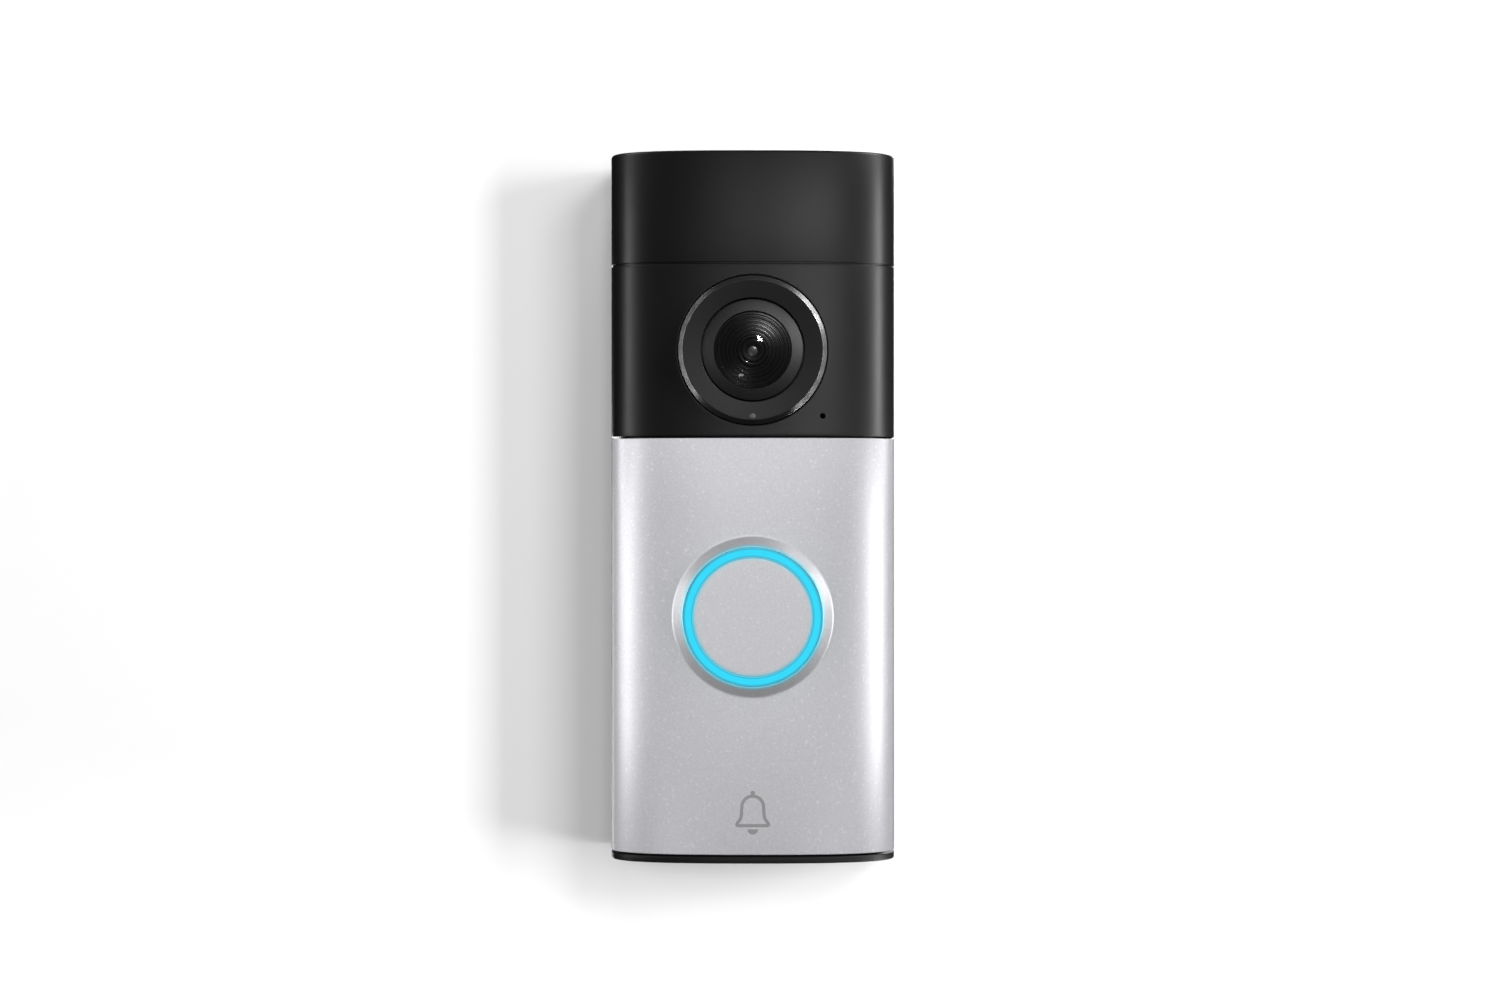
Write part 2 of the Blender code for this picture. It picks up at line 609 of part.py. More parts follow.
def board_parts():
    """The shielded processor and its heat path on the back, and the power parts on the front."""
    shield = block("rf_shield", (-9.0, 9.0), (7.0, 8.9), (-8.0, 8.0))
    carve(shield, block("shield_room", (-8.6, 8.6), (7.4, 9.9), (-7.6, 7.6)))
    finish(shield, "steel")
    finish(block("thermal_pad", (-8.0, 8.0), (5.4, 6.7), (-7.0, 7.0)), "thermal_grey")
    finish(block("heat_spreader", (-12.5, 12.5), (4.1, 5.1), (-11.5, 9.0)), "aluminium")
    finish(block("power_inductor", (-12.4, -5.0), (10.7, 14.7), (-3.6, 2.6)), "ferrite")
    can = [(0, 10.7), (2.9, 10.7), (2.9, 15.5), (2.6, 15.9), (0, 15.9)]
    for x, name in ((-1.0, "capacitor_left"), (6.0, "capacitor_right")):
        finish(turned(name, can, x, -1.4, 14), "dark_sleeve")
    finish(block("flex_socket", (-5.5, 5.5), (10.7, 12.2), (3.0, 5.6)), "white_plastic")
    half = 2.2
    switch_levels = (SETUP_LEVEL - half, SETUP_LEVEL + half)
    finish(block("setup_switch", (SETUP_X - half, SETUP_X + half), (10.7, 13.6), switch_levels), "steel")


def camera_flex():
    """The ribbon from the camera board, over the main board's top edge, down to its socket."""
    half_width, thickness = 4.5, 0.2
    over_edge = [(7.0, 11.6), (8.2, 10.7), (9.8, 10.4), (10.9, 9.8)]
    route = [(6.6, 18.0), (6.6, 13.0)] + over_edge + [(11.3, 8.6), (11.3, 5.9)]
    bm = bmesh.new()
    edge = [bm.verts.new((-half_width, -depth, z)) for depth, z in route]
    strip = [bm.edges.new(pair) for pair in zip(edge, edge[1:])]
    drawn = bmesh.ops.extrude_edge_only(bm, edges=strip)
    side = [v for v in drawn["geom"] if isinstance(v, bmesh.types.BMVert)]
    bmesh.ops.translate(bm, vec=(2 * half_width, 0, 0), verts=side)
    bmesh.ops.recalc_face_normals(bm, faces=bm.faces)
    bmesh.ops.solidify(bm, geom=bm.faces[:], thickness=thickness)
    finish(make_object("camera_flex", bm, (0, 0, 0)), "flex_film")


def setup_button(carrier):
    """The small button under the faceplate, kept in by a shoulder behind the cover."""
    stem, shoulder = SETUP_STEM, SETUP_STEM + 0.8
    back = [(0, 14.2), (stem, 14.2), (stem, 15.2), (shoulder, 15.2), (shoulder, 15.8)]
    front = [(stem, 15.8), (stem, 18.6), (0, 18.6)]
    finish(turned("setup_button", back + front, SETUP_X, SETUP_LEVEL, 12), "white_plastic", carrier)


def sensing_parts():
    """The motion sensor on its board and the radio antenna, behind the top cap."""
    depths = (SENSOR_BOARD_BACK, SENSOR_BOARD_BACK + 1.0)
    board = block("motion_sensor_board", (-11.0, 11.0), depths, (42.5, 53.0))
    weld(board, block("motion_sensor", (-3.2, 3.2), (15.2, 16.6), (44.5, 50.9)))
    finish(board, "circuit_green")
    antenna = block("wifi_antenna", (-6.0, 6.0), (6.0, 6.6), (50.5, 52.5))
    for x in (-5.5, -2.5):
        weld(antenna, block("leg", (x - 0.5, x + 0.5), (6.0, 6.6), (44.0, 51.0)))
    finish(antenna, "brass")


def speaker():
    """The round loudspeaker behind the grille."""
    rim, throat = SPEAKER_RADIUS, SPEAKER_RADIUS - 1.2
    basket_outside = [(throat, 17.2), (rim, 17.2), (rim, 13.9), (7.6, 13.3), (3.0, 13.3)]
    basket_inside = [(3.0, 14.0), (7.4, 14.0), (throat, 14.7)]
    cone_back = [(0, 15.9), (1.9, 15.6), (3.4, 14.6), (7.4, 16.3), (8.4, 16.3)]
    cone_front = [(8.4, 16.8), (7.3, 16.8), (3.4, 15.2), (2.2, 16.0), (0, 16.4)]
    gasket = [(throat, 17.5), (rim, 17.5), (rim, 17.9), (throat, 17.9)]
    magnet = [(0, 10.8), (7.0, 10.8), (7.0, 13.0), (0, 13.0)]
    for name, outline, look in (
        ("speaker_basket", basket_outside + basket_inside, "housing_black"),
        ("speaker_cone", cone_back + cone_front, "cone_film"),
        ("speaker_gasket", gasket, "rubber"),
        ("speaker_magnet", magnet, "steel"),
    ):
        finish(turned(name, outline, 0, SPEAKER_LEVEL, 20), look)


def terminals():
    """The block with two plates and two screws that the bell wires go under."""
    body = block("terminal_block", (-BLOCK_HALF, BLOCK_HALF), (5.2, 8.9), (BLOCK_LOW, BLOCK_HIGH))
    screw_outline = [(0, 2.4), (2.4, 2.4), (2.7, 2.7), (2.7, 4.0), (1.3, 4.0), (1.3, 8.0), (0, 8.0)]
    for x, side in mirrored(TERMINAL_X):
        carve(body, peg("thread", x, TERMINAL_LEVEL, TERMINAL_HOLE, 4.0, 8.3, 12))
        levels = (BLOCK_LOW + 0.3, BLOCK_HIGH - 0.3)
        plate = block(f"terminal_plate_{side}", (x - 3.2, x + 3.2), (4.3, 4.9), levels)
        carve(plate, peg("plate_hole", x, TERMINAL_LEVEL, TERMINAL_HOLE, 3.0, 6.0, 12))
        finish(plate, "brass")
        screw = turned(f"terminal_screw_{side}", screw_outline, x, TERMINAL_LEVEL, 14)
        slot = block("slot", (x - 4, x + 4), (1.5, 3.0), (TERMINAL_LEVEL - 0.4, TERMINAL_LEVEL + 0.4))
        finish(carve(screw, slot), "steel")
    finish(body, "housing_black")


def main():
    clear_scene()
    rear_housing()
    inner_front_cover()
    housing_gasket()
    top_cap()
    camera_panel()
    housing_screws()
    plate_carrier = mover("faceplate_pull", (0, 0, BUTTON_LEVEL))
    faceplate(plate_carrier)
    faceplate_latch(plate_carrier)
    security_screw()
    camera_bezel()
    lens_stack()
    lens_holder()
    infrared_shutter()
    camera_electronics()
    light_ring()
    button(mover("button_press", (0, 0, BUTTON_LEVEL)))
    button_carrier()
    button_electronics()
    main_board()
    board_parts()
    camera_flex()
    setup_button(mover("setup_press", (SETUP_X, 0, SETUP_LEVEL)))
    sensing_parts()
    speaker()
    terminals()


main()
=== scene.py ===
"""Looks of the wall-mounted video doorbell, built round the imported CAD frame.

Shapes are drawn in millimetres in the CAD's own frame and turned into metres when a piece is made.
A depth is a distance out of the wall, so a point at depth d has Y = -d.
"""

import json
import math

import bmesh
import bpy
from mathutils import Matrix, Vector


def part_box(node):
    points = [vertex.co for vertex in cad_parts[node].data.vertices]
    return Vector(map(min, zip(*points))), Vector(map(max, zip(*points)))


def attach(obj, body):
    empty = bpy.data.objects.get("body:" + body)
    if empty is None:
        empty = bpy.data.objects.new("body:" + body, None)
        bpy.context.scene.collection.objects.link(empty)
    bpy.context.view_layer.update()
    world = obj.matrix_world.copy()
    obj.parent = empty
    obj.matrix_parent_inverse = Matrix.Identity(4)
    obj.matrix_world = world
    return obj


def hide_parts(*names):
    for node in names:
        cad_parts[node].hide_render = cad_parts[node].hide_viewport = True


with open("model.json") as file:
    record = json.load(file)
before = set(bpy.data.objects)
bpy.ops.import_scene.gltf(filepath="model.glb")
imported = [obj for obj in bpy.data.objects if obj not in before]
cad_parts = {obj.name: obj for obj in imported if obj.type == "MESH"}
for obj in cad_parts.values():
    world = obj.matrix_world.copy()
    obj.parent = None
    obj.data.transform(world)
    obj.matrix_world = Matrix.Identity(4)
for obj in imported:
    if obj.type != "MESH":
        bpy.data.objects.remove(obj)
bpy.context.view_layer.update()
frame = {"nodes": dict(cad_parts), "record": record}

MM = 0.001


def span(node):
    """A CAD node's lowest and highest corner in millimetres."""
    low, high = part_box(node)
    return Vector(low) / MM, Vector(high) / MM


def middle(node):
    """The x and z of a CAD node's middle in millimetres."""
    low, high = span(node)
    return (low.x + high.x) / 2, (low.z + high.z) / 2


def depths(node):
    """A CAD node's depth at its back and at its front in millimetres."""
    low, high = span(node)
    return -high.y, -low.y


# ---------------------------------------------------------------- sizes read from the frame

body_low, body_high = span("rear_housing")
cap_low, cap_high = span("top_cap")
panel_low, panel_high = span("camera_panel")
plate_low, plate_high = span("faceplate")
cover_low, cover_high = span("inner_front_cover")

HALF = body_high.x
TOP = body_high.z
BOTTOM = body_low.z
SKIRT = -cap_high.y
CAMERA_LEVEL = middle("camera_bezel")[1]
BUTTON_LEVEL = middle("button_cap")[1]
MIC_X, MIC_Z = middle("microphone")
BEZEL_FACE = depths("camera_bezel")[1]

# Shape of the crowned front, as in the CAD
CROWN = 8.6
SIDE = -body_low.y - CROWN  # the straight sides end at this depth
ROUNDNESS = 2.75
SKIN = 1.2

# Places of the fasteners, as in the CAD
SCREW_SIDE = 16.6  # x of the wall-screw bores and of the housing screws
BORE_LEVELS = (4.5, -48.5)
SCREW_LEVELS = {"upper": 47.0, "lower": -38.0}
TERMINAL_SIDE = 4.1
TERMINAL_LEVEL = -18.75
SECURITY_DEPTH = 8.0

# Fine shape
SIDE_STEPS = 26
MIDDLE_STEPS = 32
EDGE_STEPS = 4
TURN_STEPS = 128
REACH = 16.0  # half the width of the evenly spaced middle of a crowned section
SHARP = 32  # degrees between faces from which an edge stays sharp


# ---------------------------------------------------------------- mesh helpers


def placed(name, data):
    """A new object in the scene."""
    obj = bpy.data.objects.new(name, data)
    bpy.context.scene.collection.objects.link(obj)
    return obj


def piece(name, bm, body, slot, replaces=(), look=None):
    """Makes a finished piece from a millimetre mesh, ties it to its body and hides the CAD nodes it
    replaces.

    Its look is its slot's own unless another is given.
    """
    bmesh.ops.recalc_face_normals(bm, faces=bm.faces)
    bmesh.ops.scale(bm, vec=(MM, MM, MM), verts=bm.verts)
    mesh = bpy.data.meshes.new(name)
    bm.to_mesh(mesh)
    bm.free()
    mesh.shade_smooth()
    mesh.set_sharp_from_angle(angle=math.radians(SHARP))
    obj = placed(name, mesh)
    mesh.materials.append(looks[slot] if look is None else look)
    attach(obj, body)
    if replaces:
        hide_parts(*replaces)
    return obj


def mesh_of(points, faces):
    bm = bmesh.new()
    verts = [bm.verts.new(p) for p in points]
    for face in faces:
        bm.faces.new([verts[i] for i in face])
    return bm


def arc(centre, radius, start, end, steps):
    """Points of an arc from one angle to another, in degrees."""
    angles = [math.radians(start + (end - start) * k / steps) for k in range(steps + 1)]
    return [(centre[0] + radius * math.cos(a), centre[1] + radius * math.sin(a)) for a in angles]


def rounded(outline, radius, steps=4, closed=True, turn=22):
    """Softens each clear corner of an outline with a small curve of about the given radius."""
    soft = []
    count = len(outline)
    for k, point in enumerate(outline):
        if not closed and k in (0, count - 1):
            soft.append(point)
            continue
        here = Vector(point)
        before = Vector(outline[k - 1]) - here
        after = Vector(outline[(k + 1) % count]) - here
        if math.degrees(before.angle(after)) > 180 - turn:
            soft.append(point)
            continue
        reach = min(radius, before.length * 0.45, after.length * 0.45)
        start, end = here + before.normalized() * reach, here + after.normalized() * reach
        for j in range(steps + 1):
            t = j / steps
            spot = start * (1 - t) ** 2 + here * 2 * t * (1 - t) + end * t**2
            soft.append((spot.x, spot.y))
    return soft


def lathe(outline, x, z, steps=TURN_STEPS):
    """A round mesh on an axis out of the wall, from (radius, depth) points."""
    solid = outline[0][0] == 0
    points, faces = [], []
    for radius, depth in outline:
        for k in range(steps if radius > 0 else 1):
            a = 2 * math.pi * k / steps
            points.append((x + radius * math.cos(a), -depth, z + radius * math.sin(a)))
    starts, total = [], 0
    for radius, _ in outline:
        starts.append(total)
        total += steps if radius > 0 else 1
    last = len(outline) - 1 if solid else len(outline)
    for row in range(last):
        after = (row + 1) % len(outline)
        for k in range(steps):
            n = (k + 1) % steps
            quad = [starts[row] + k, starts[row] + n, starts[after] + n, starts[after] + k]
            if outline[row][0] == 0:
                quad = [starts[row], starts[after] + n, starts[after] + k]
            elif outline[after][0] == 0:
                quad = [starts[row] + k, starts[row] + n, starts[after]]
            faces.append(quad)
    return mesh_of(points, faces)


def soft_block(x, depth, z, radius=0.2, segments=3):
    """A box mesh with rounded edges."""
    bm = bmesh.new()
    bmesh.ops.create_cube(bm, size=1.0)
    size = (x[1] - x[0], depth[1] - depth[0], z[1] - z[0])
    middle = ((x[0] + x[1]) / 2, -(depth[0] + depth[1]) / 2, (z[0] + z[1]) / 2)
    bmesh.ops.scale(bm, vec=size, verts=bm.verts)
    if radius:
        bmesh.ops.bevel(bm, geom=bm.edges[:], offset=radius, segments=segments, affect="EDGES", profile=0.5)
    bmesh.ops.translate(bm, vec=middle, verts=bm.verts)
    return bm


def post(x, z, radius, back, front, steps=32):
    return lathe([(0, back), (radius, back), (radius, front), (0, front)], x, z, steps)


def upright(outline, x, depth, steps=48):
    """A round mesh on an axis along Z, from (radius, height) points."""
    bm = lathe(outline, 0, 0, steps)
    for v in bm.verts:
        v.co = (x + v.co.x, -depth + v.co.z, -v.co.y)
    return bm


def combine(base, tools, operation):
    """Joins tool meshes to a base mesh or cuts them out of it, and returns the new mesh."""
    holder = bpy.data.meshes.new("holder")
    base.to_mesh(holder)
    base.free()
    target = placed("holder", holder)
    for tool in tools:
        bmesh.ops.recalc_face_normals(tool, faces=tool.faces)
        tool_mesh = bpy.data.meshes.new("tool")
        tool.to_mesh(tool_mesh)
        tool.free()
        cutter = placed("tool", tool_mesh)
        change = target.modifiers.new("change", "BOOLEAN")
        change.operation = operation
        change.solver = "EXACT"
        change.object = cutter
        evaluated = target.evaluated_get(bpy.context.evaluated_depsgraph_get())
        result = bpy.data.meshes.new_from_object(evaluated)
        target.modifiers.clear()
        target.data = result
        bpy.data.objects.remove(cutter)
    bm = bmesh.new()
    bm.from_mesh(target.data)
    bpy.data.objects.remove(target)
    return bm


def weld(base, *tools):
    bmesh.ops.recalc_face_normals(base, faces=base.faces)
    return combine(base, tools, "UNION")


def carve(base, *tools):
    bmesh.ops.recalc_face_normals(base, faces=base.faces)
    return combine(base, tools, "DIFFERENCE")


# ---------------------------------------------------------------- the crowned skins


def front_depth(x, inset):
    """Depth of the crowned front at x, for a surface set in by a distance."""
    share = min(1.0, abs(x) / (HALF - inset))
    return SIDE + (CROWN - inset) * (1 - share**ROUNDNESS) ** (1 / ROUNDNESS)


def section(inset, reach, back):
    """(x, depth) points from the right-hand back edge over the crown to the left-hand one.

    The middle points are evenly spaced between x = reach and x = -reach.
    """
    wide, rise = HALF - inset, CROWN - inset
    power = 2 / ROUNDNESS
    right = [(wide, back), (wide, (back + SIDE) / 2)]
    end = math.acos((reach / wide) ** (1 / power))
    for k in range(SIDE_STEPS):
        t = end * k / SIDE_STEPS
        right.append((wide * math.cos(t) ** power, SIDE + rise * math.sin(t) ** power))
    middle = []
    for k in range(MIDDLE_STEPS + 1):
        x = reach - 2 * reach * k / MIDDLE_STEPS
        middle.append((x, front_depth(x, inset)))
    return right + middle + [(-x, depth) for x, depth in reversed(right)]


def end_rows(low, high, edge, far_edge=None):
    """(z, inset) rows that round off the outer edge at both ends."""
    far_edge = edge if far_edge is None else far_edge
    rows = [(low + edge * (1 - math.cos(a)), edge * (1 - math.sin(a))) for a in quarter()]
    rows += [(high - far_edge * (1 - math.sin(a)), far_edge * (1 - math.cos(a))) for a in quarter()]
    return rows


def quarter():
    return [math.pi / 2 * k / EDGE_STEPS for k in range(EDGE_STEPS + 1)]


def close_shell(outer, inner, faces):
    """A thin closed wall from an outer sheet, its inner twin and the faces they share."""
    count = len(outer)
    edges = {}
    for face in faces:
        for a, b in zip(face, face[1:] + face[:1]):
            key = (min(a, b), max(a, b))
            edges[key] = None if key in edges else (a, b)
    closed = [list(f) for f in faces]
    closed += [[i + count for i in reversed(f)] for f in faces]
    closed += [[b, a, a + count, b + count] for a, b in (e for e in edges.values() if e)]
    return mesh_of(outer + inner, closed)


def skin(low, high, edge, reach=REACH, hole=None, inset=0.0, wall=SKIN, back=SKIRT):
    """A crowned skin, open behind and at both ends. hole is (level, radii, relief) or None.

    Round the hole the mesh is polar: radii are its circles, smallest first, and
    relief(radius, angle) is their depth.
    """
    rows = end_rows(low, high, edge)
    window = None
    if hole:
        level, radii, relief = hole
        split = EDGE_STEPS + 1
        inside = [(level - reach + 2 * reach * k / MIDDLE_STEPS, 0.0) for k in range(MIDDLE_STEPS + 1)]
        rows = rows[:split] + [r for r in inside if low + edge < r[0] < high - edge] + rows[split:]
        levels = [z for z, _ in rows]
        first = min(range(len(rows)), key=lambda i: abs(levels[i] - (level - reach)))
        final = min(range(len(rows)), key=lambda i: abs(levels[i] - (level + reach)))
        window = (first, final)
    outer, inner = [], []
    inner_section = section(inset + wall, reach, back)
    for z, rounding in rows:
        for (x, depth), (xi, di) in zip(section(inset + rounding, reach, back), inner_section):
            outer.append((x, -depth, z))
            inner.append((xi, -di, z))
    columns = len(inner_section)
    left_in, right_in = 2 + SIDE_STEPS, 2 + SIDE_STEPS + MIDDLE_STEPS
    faces = []
    for r in range(len(rows) - 1):
        for c in range(columns - 1):
            if window and window[0] <= r < window[1] and left_in <= c < right_in:
                continue
            at = r * columns + c
            faces.append([at, at + columns, at + columns + 1, at + 1])
    if window:
        r0, r1 = window
        loop = [r0 * columns + c for c in range(right_in, left_in, -1)]
        loop += [r * columns + left_in for r in range(r0, r1)]
        loop += [r1 * columns + c for c in range(left_in, right_in)]
        loop += [r * columns + right_in for r in range(r1, r0, -1)]
        add_polar(outer, inner, faces, loop, level, radii, relief, inset, wall)
    return close_shell(outer, inner, faces)


def add_polar(outer, inner, faces, loop, level, radii, relief, inset, wall):
    """Fills the window that a loop of vertices leaves with circles round the hole."""
    rings = []
    for radius in radii:
        ring = []
        for i in loop:
            x, _, z = outer[i]
            a = math.atan2(z - level, x)
            px, pz = radius * math.cos(a), level + radius * math.sin(a)
            ring.append(len(outer))
            outer.append((px, -relief(radius, a), pz))
            inner.append((px, -front_depth(px, inset + wall), pz))
        rings.append(ring)
    last = rings[-1]
    for share in (0.33, 0.66):
        ring = []
        for i, j in zip(last, loop):
            x = outer[i][0] * (1 - share) + outer[j][0] * share
            z = outer[i][2] * (1 - share) + outer[j][2] * share
            ring.append(len(outer))
            outer.append((x, -front_depth(x, inset), z))
            inner.append((x, -front_depth(x, inset + wall), z))
        rings.append(ring)
    rings.append(loop)
    for a, b in zip(rings, rings[1:]):
        for k in range(len(loop)):
            n = (k + 1) % len(loop)
            faces.append([a[k], b[k], b[n], a[n]])


def capped_skin(low, high, edge, far_edge, tongue):
    """A crowned skin, closed on top. Its tongue reaches below the low end, set in from the surface."""
    set_in, drop = tongue
    rows = [(low - drop, set_in), (low - 0.01, set_in)] + end_rows(low, high, edge, far_edge)
    rows.append((high, far_edge + 0.8))
    inner_section = section(SKIN, REACH, SKIRT)
    outer, inner = [], []
    ceiling = high - SKIN
    for z, rounding in rows:
        zi = low + (z - low) * (ceiling - low) / (high - low)
        crowd = SKIN + (rounding if z == high and rounding > far_edge else 0)
        own = section(crowd, REACH, SKIRT) if crowd > SKIN else inner_section
        for (x, depth), (xi, di) in zip(section(rounding, REACH, SKIRT), own):
            outer.append((x, -depth, z))
            inner.append((xi, -di, zi))
    columns = len(inner_section)
    faces = []
    for r in range(len(rows) - 1):
        for c in range(columns - 1):
            at = r * columns + c
            faces.append([at, at + columns, at + columns + 1, at + 1])
    top = (len(rows) - 1) * columns
    faces.append([top + c for c in range(columns - 1, -1, -1)])
    return close_shell(outer, inner, faces)


def crown_slab(low, high, edge, back, inset=0.0):
    """A solid slab with the crowned section and rounded long edges."""
    rows = end_rows(low, high, edge)
    rows = [(low, edge + 0.6)] + rows + [(high, edge + 0.6)]
    points, faces = [], []
    for z, rounding in rows:
        points += [(x, -depth, z) for x, depth in section(inset + rounding, REACH, back + rounding)]
    columns = len(points) // len(rows)
    for r in range(len(rows) - 1):
        for c in range(columns):
            n = (c + 1) % columns
            a, b = r * columns, (r + 1) * columns
            faces.append([a + c, b + c, b + n, a + n])
    faces.append(list(range(columns)))
    faces.append([len(points) - 1 - c for c in range(columns)])
    return mesh_of(points, faces)


# ---------------------------------------------------------------- materials


class Tree:
    """A short way to write a node material."""

    def __init__(self, name):
        self.material = bpy.data.materials.new(name)
        self.material.use_nodes = True
        self.tree = self.material.node_tree
        self.shader = self.tree.nodes["Principled BSDF"]
        self.place = self.node("ShaderNodeTexCoord").outputs["Object"]

    def feed(self, socket, source):
        """Links a source to a socket, or sets the socket to a value."""
        if hasattr(source, "is_linked"):
            self.tree.links.new(source, socket)
        else:
            socket.default_value = source

    def node(self, kind, sources=(), **settings):
        made = self.tree.nodes.new(kind)
        for key, value in settings.items():
            setattr(made, key, value)
        for socket, source in dict(sources).items():
            self.feed(made.inputs[socket], source)
        return made

    def noise(self, size_mm, detail=2.0, rough=0.5):
        links = {"Vector": self.place, "Scale": 1 / (size_mm * MM), "Detail": detail, "Roughness": rough}
        return self.node("ShaderNodeTexNoise", links).outputs["Fac"]

    def spread(self, source, low, high, from_low=0.3, from_high=0.7):
        links = {"Value": source, "From Min": from_low, "From Max": from_high, "To Min": low, "To Max": high}
        return self.node("ShaderNodeMapRange", links).outputs["Result"]

    def step(self, source, start_mm, end_mm, low=0.0, high=1.0):
        """Goes from low to high while a distance goes from start to end."""
        return self.spread(source, low, high, start_mm * MM, end_mm * MM)

    def maths(self, operation, a, b=0.0):
        return self.node("ShaderNodeMath", {0: a, 1: b}, operation=operation).outputs["Value"]

    def plus(self, a, b):
        return self.maths("ADD", a, b)

    def times(self, a, b):
        return self.maths("MULTIPLY", a, b)

    def mix(self, share, a, b):
        return self.node("ShaderNodeMix", {0: share, 6: a, 7: b}, data_type="RGBA").outputs[2]

    def bump(self, height, strength, depth_mm):
        links = {"Height": height, "Strength": strength, "Distance": depth_mm * MM}
        self.to_shader("Normal", self.node("ShaderNodeBump", links).outputs["Normal"])

    def to_shader(self, socket, source):
        self.feed(self.shader.inputs[socket], source)


def radius_from(t, level):
    """Distance in metres from an axis out of the wall at a level, as a socket."""
    parts = t.node("ShaderNodeSeparateXYZ", {"Vector": t.place})
    up = t.maths("SUBTRACT", parts.outputs["Z"], level * MM)
    across = parts.outputs["X"]
    return t.maths("SQRT", t.plus(t.times(across, across), t.times(up, up)))


def shade(colour, factor):
    return (*[min(1.0, c * factor) for c in colour], 1.0)


def moulded(name, colour, roughness, metallic, grain, depth, specular=0.5, drift=0.12):
    """A moulded, plated or printed surface: fine grain, slight colour drift and uneven gloss."""
    t = Tree(name)
    fine = t.noise(grain, 3.0, 0.6)
    broad = t.noise(14.0, 2.0)
    mottled = t.plus(t.times(fine, 0.65), t.times(broad, 0.35))
    tone = t.spread(mottled, 0.0, 1.0, 0.32, 0.68)
    t.to_shader("Base Color", t.mix(tone, shade(colour, 1 - drift), shade(colour, 1 + drift)))
    t.to_shader("Roughness", t.spread(mottled, roughness - 0.05, roughness + 0.05))
    t.to_shader("Metallic", metallic)
    t.to_shader("Specular IOR Level", specular)
    t.bump(fine, 0.5, depth)
    return t.material


def silver_look(name):
    """Blasted, lacquered silver with tiny bright and dark grains.

    It has a painted cyan glow beside the light ring, painted shade that makes the collar a little darker,
    and painted shade where the sides turn away.
    """
    t = Tree(name)
    grains = t.noise(0.30, 2.0, 0.75)
    flecks = t.noise(0.55, 1.0, 0.5)
    broad = t.noise(22.0, 1.0)
    base = t.mix(t.spread(grains, 0.0, 1.0, 0.30, 0.70), (0.575, 0.575, 0.602, 1), (0.665, 0.665, 0.695, 1))
    fleck = t.spread(flecks, 0.0, 1.0, 0.62, 0.74)
    lit = t.mix(fleck, base, (0.72, 0.72, 0.75, 1))
    # Painted glow: cyan colour and a faint emission beside the light ring stand in for its light falling on
    # the silver
    from_ring = radius_from(t, BUTTON_LEVEL)
    inside = t.step(from_ring, 9.0, 9.65, 0.0, 0.62)
    outside = t.step(from_ring, 11.2, 11.9, 0.74, 0.0)
    painted_ring_glow = t.maths("MINIMUM", inside, outside)
    # Painted shade: the collar's slope is made a little darker in colour
    collar = t.maths("MINIMUM", t.step(from_ring, 11.3, 11.6), t.step(from_ring, 12.85, 13.0, 1.0, 0.0))
    shaded = t.mix(t.times(collar, 0.08), lit, (0.2, 0.2, 0.2, 1))
    # Painted shade: the sides are darkened in colour where they turn away, and are also made rougher
    across = t.maths("ABSOLUTE", t.node("ShaderNodeSeparateXYZ", {"Vector": t.place}).outputs["X"])
    turn = t.step(across, HALF - 0.45, HALF - 0.1)
    shaded = t.mix(t.times(turn, 0.75), shaded, (0.05, 0.05, 0.052, 1))
    t.to_shader("Base Color", t.mix(painted_ring_glow, shaded, (0.03, 0.60, 0.74, 1)))
    t.to_shader("Emission Color", (0.02, 0.62, 0.84, 1))
    t.to_shader("Emission Strength", t.times(painted_ring_glow, 0.30))
    rough = t.plus(t.spread(grains, 0.39, 0.45), t.spread(broad, -0.015, 0.015))
    t.to_shader("Roughness", t.plus(rough, t.times(turn, 0.3)))
    t.to_shader("Metallic", 0.40)
    t.bump(grains, 0.30, 0.006)
    return t.material


def satin_black_look(name):
    """Spark-eroded black plastic with a satin sheen."""
    t = Tree(name)
    fine = t.noise(0.16, 3.0, 0.65)
    broad = t.noise(18.0, 2.0)
    black = (0.005, 0.005, 0.00515)
    t.to_shader("Base Color", t.mix(t.spread(fine, 0.0, 1.0), shade(black, 0.85), shade(black, 1.2)))
    t.to_shader("Roughness", t.plus(t.spread(fine, 0.33, 0.39), t.spread(broad, -0.02, 0.02)))
    t.to_shader("Specular IOR Level", 0.30)
    t.bump(fine, 0.35, 0.004)
    return t.material


def bezel_look(name):
    """Satin black with a polished, more mirror-like chamfer."""
    t = Tree(name)
    rim = t.step(radius_from(t, CAMERA_LEVEL), 11.26, 11.31)
    fine = t.noise(0.16, 3.0, 0.65)
    satin = t.mix(t.spread(fine, 0.0, 1.0), (0.0038, 0.0038, 0.0040, 1), (0.0054, 0.0054, 0.0056, 1))
    t.to_shader("Base Color", t.mix(rim, satin, (0.16, 0.16, 0.165, 1)))
    t.to_shader("Metallic", t.times(rim, 0.9))
    t.to_shader("Roughness", t.plus(t.spread(fine, 0.28, 0.34), t.times(rim, -0.07)))
    t.to_shader("Specular IOR Level", 0.30)
    off_rim = t.maths("SUBTRACT", 1.0, t.times(rim, 0.85))
    t.bump(t.times(fine, off_rim), 0.30, 0.003)
    return t.material


def turned_look(name, colour, roughness, pitch=0.16, contrast=0.14, groove=0.003, specular=0.5):
    """A turned surface with fine rings round the camera's axis."""
    t = Tree(name)
    wave = t.maths("SINE", t.times(radius_from(t, CAMERA_LEVEL), 2 * math.pi / (pitch * MM)))
    grit = t.noise(0.2, 2.0)
    tone = t.spread(t.plus(t.times(wave, 0.25), grit), 0.0, 1.0, 0.2, 0.8)
    t.to_shader("Base Color", t.mix(tone, shade(colour, 1 - contrast), shade(colour, 1 + contrast)))
    t.to_shader("Roughness", t.spread(grit, roughness - 0.05, roughness + 0.05))
    t.to_shader("Specular IOR Level", specular)
    t.bump(wave, 0.25, groove)
    return t.material


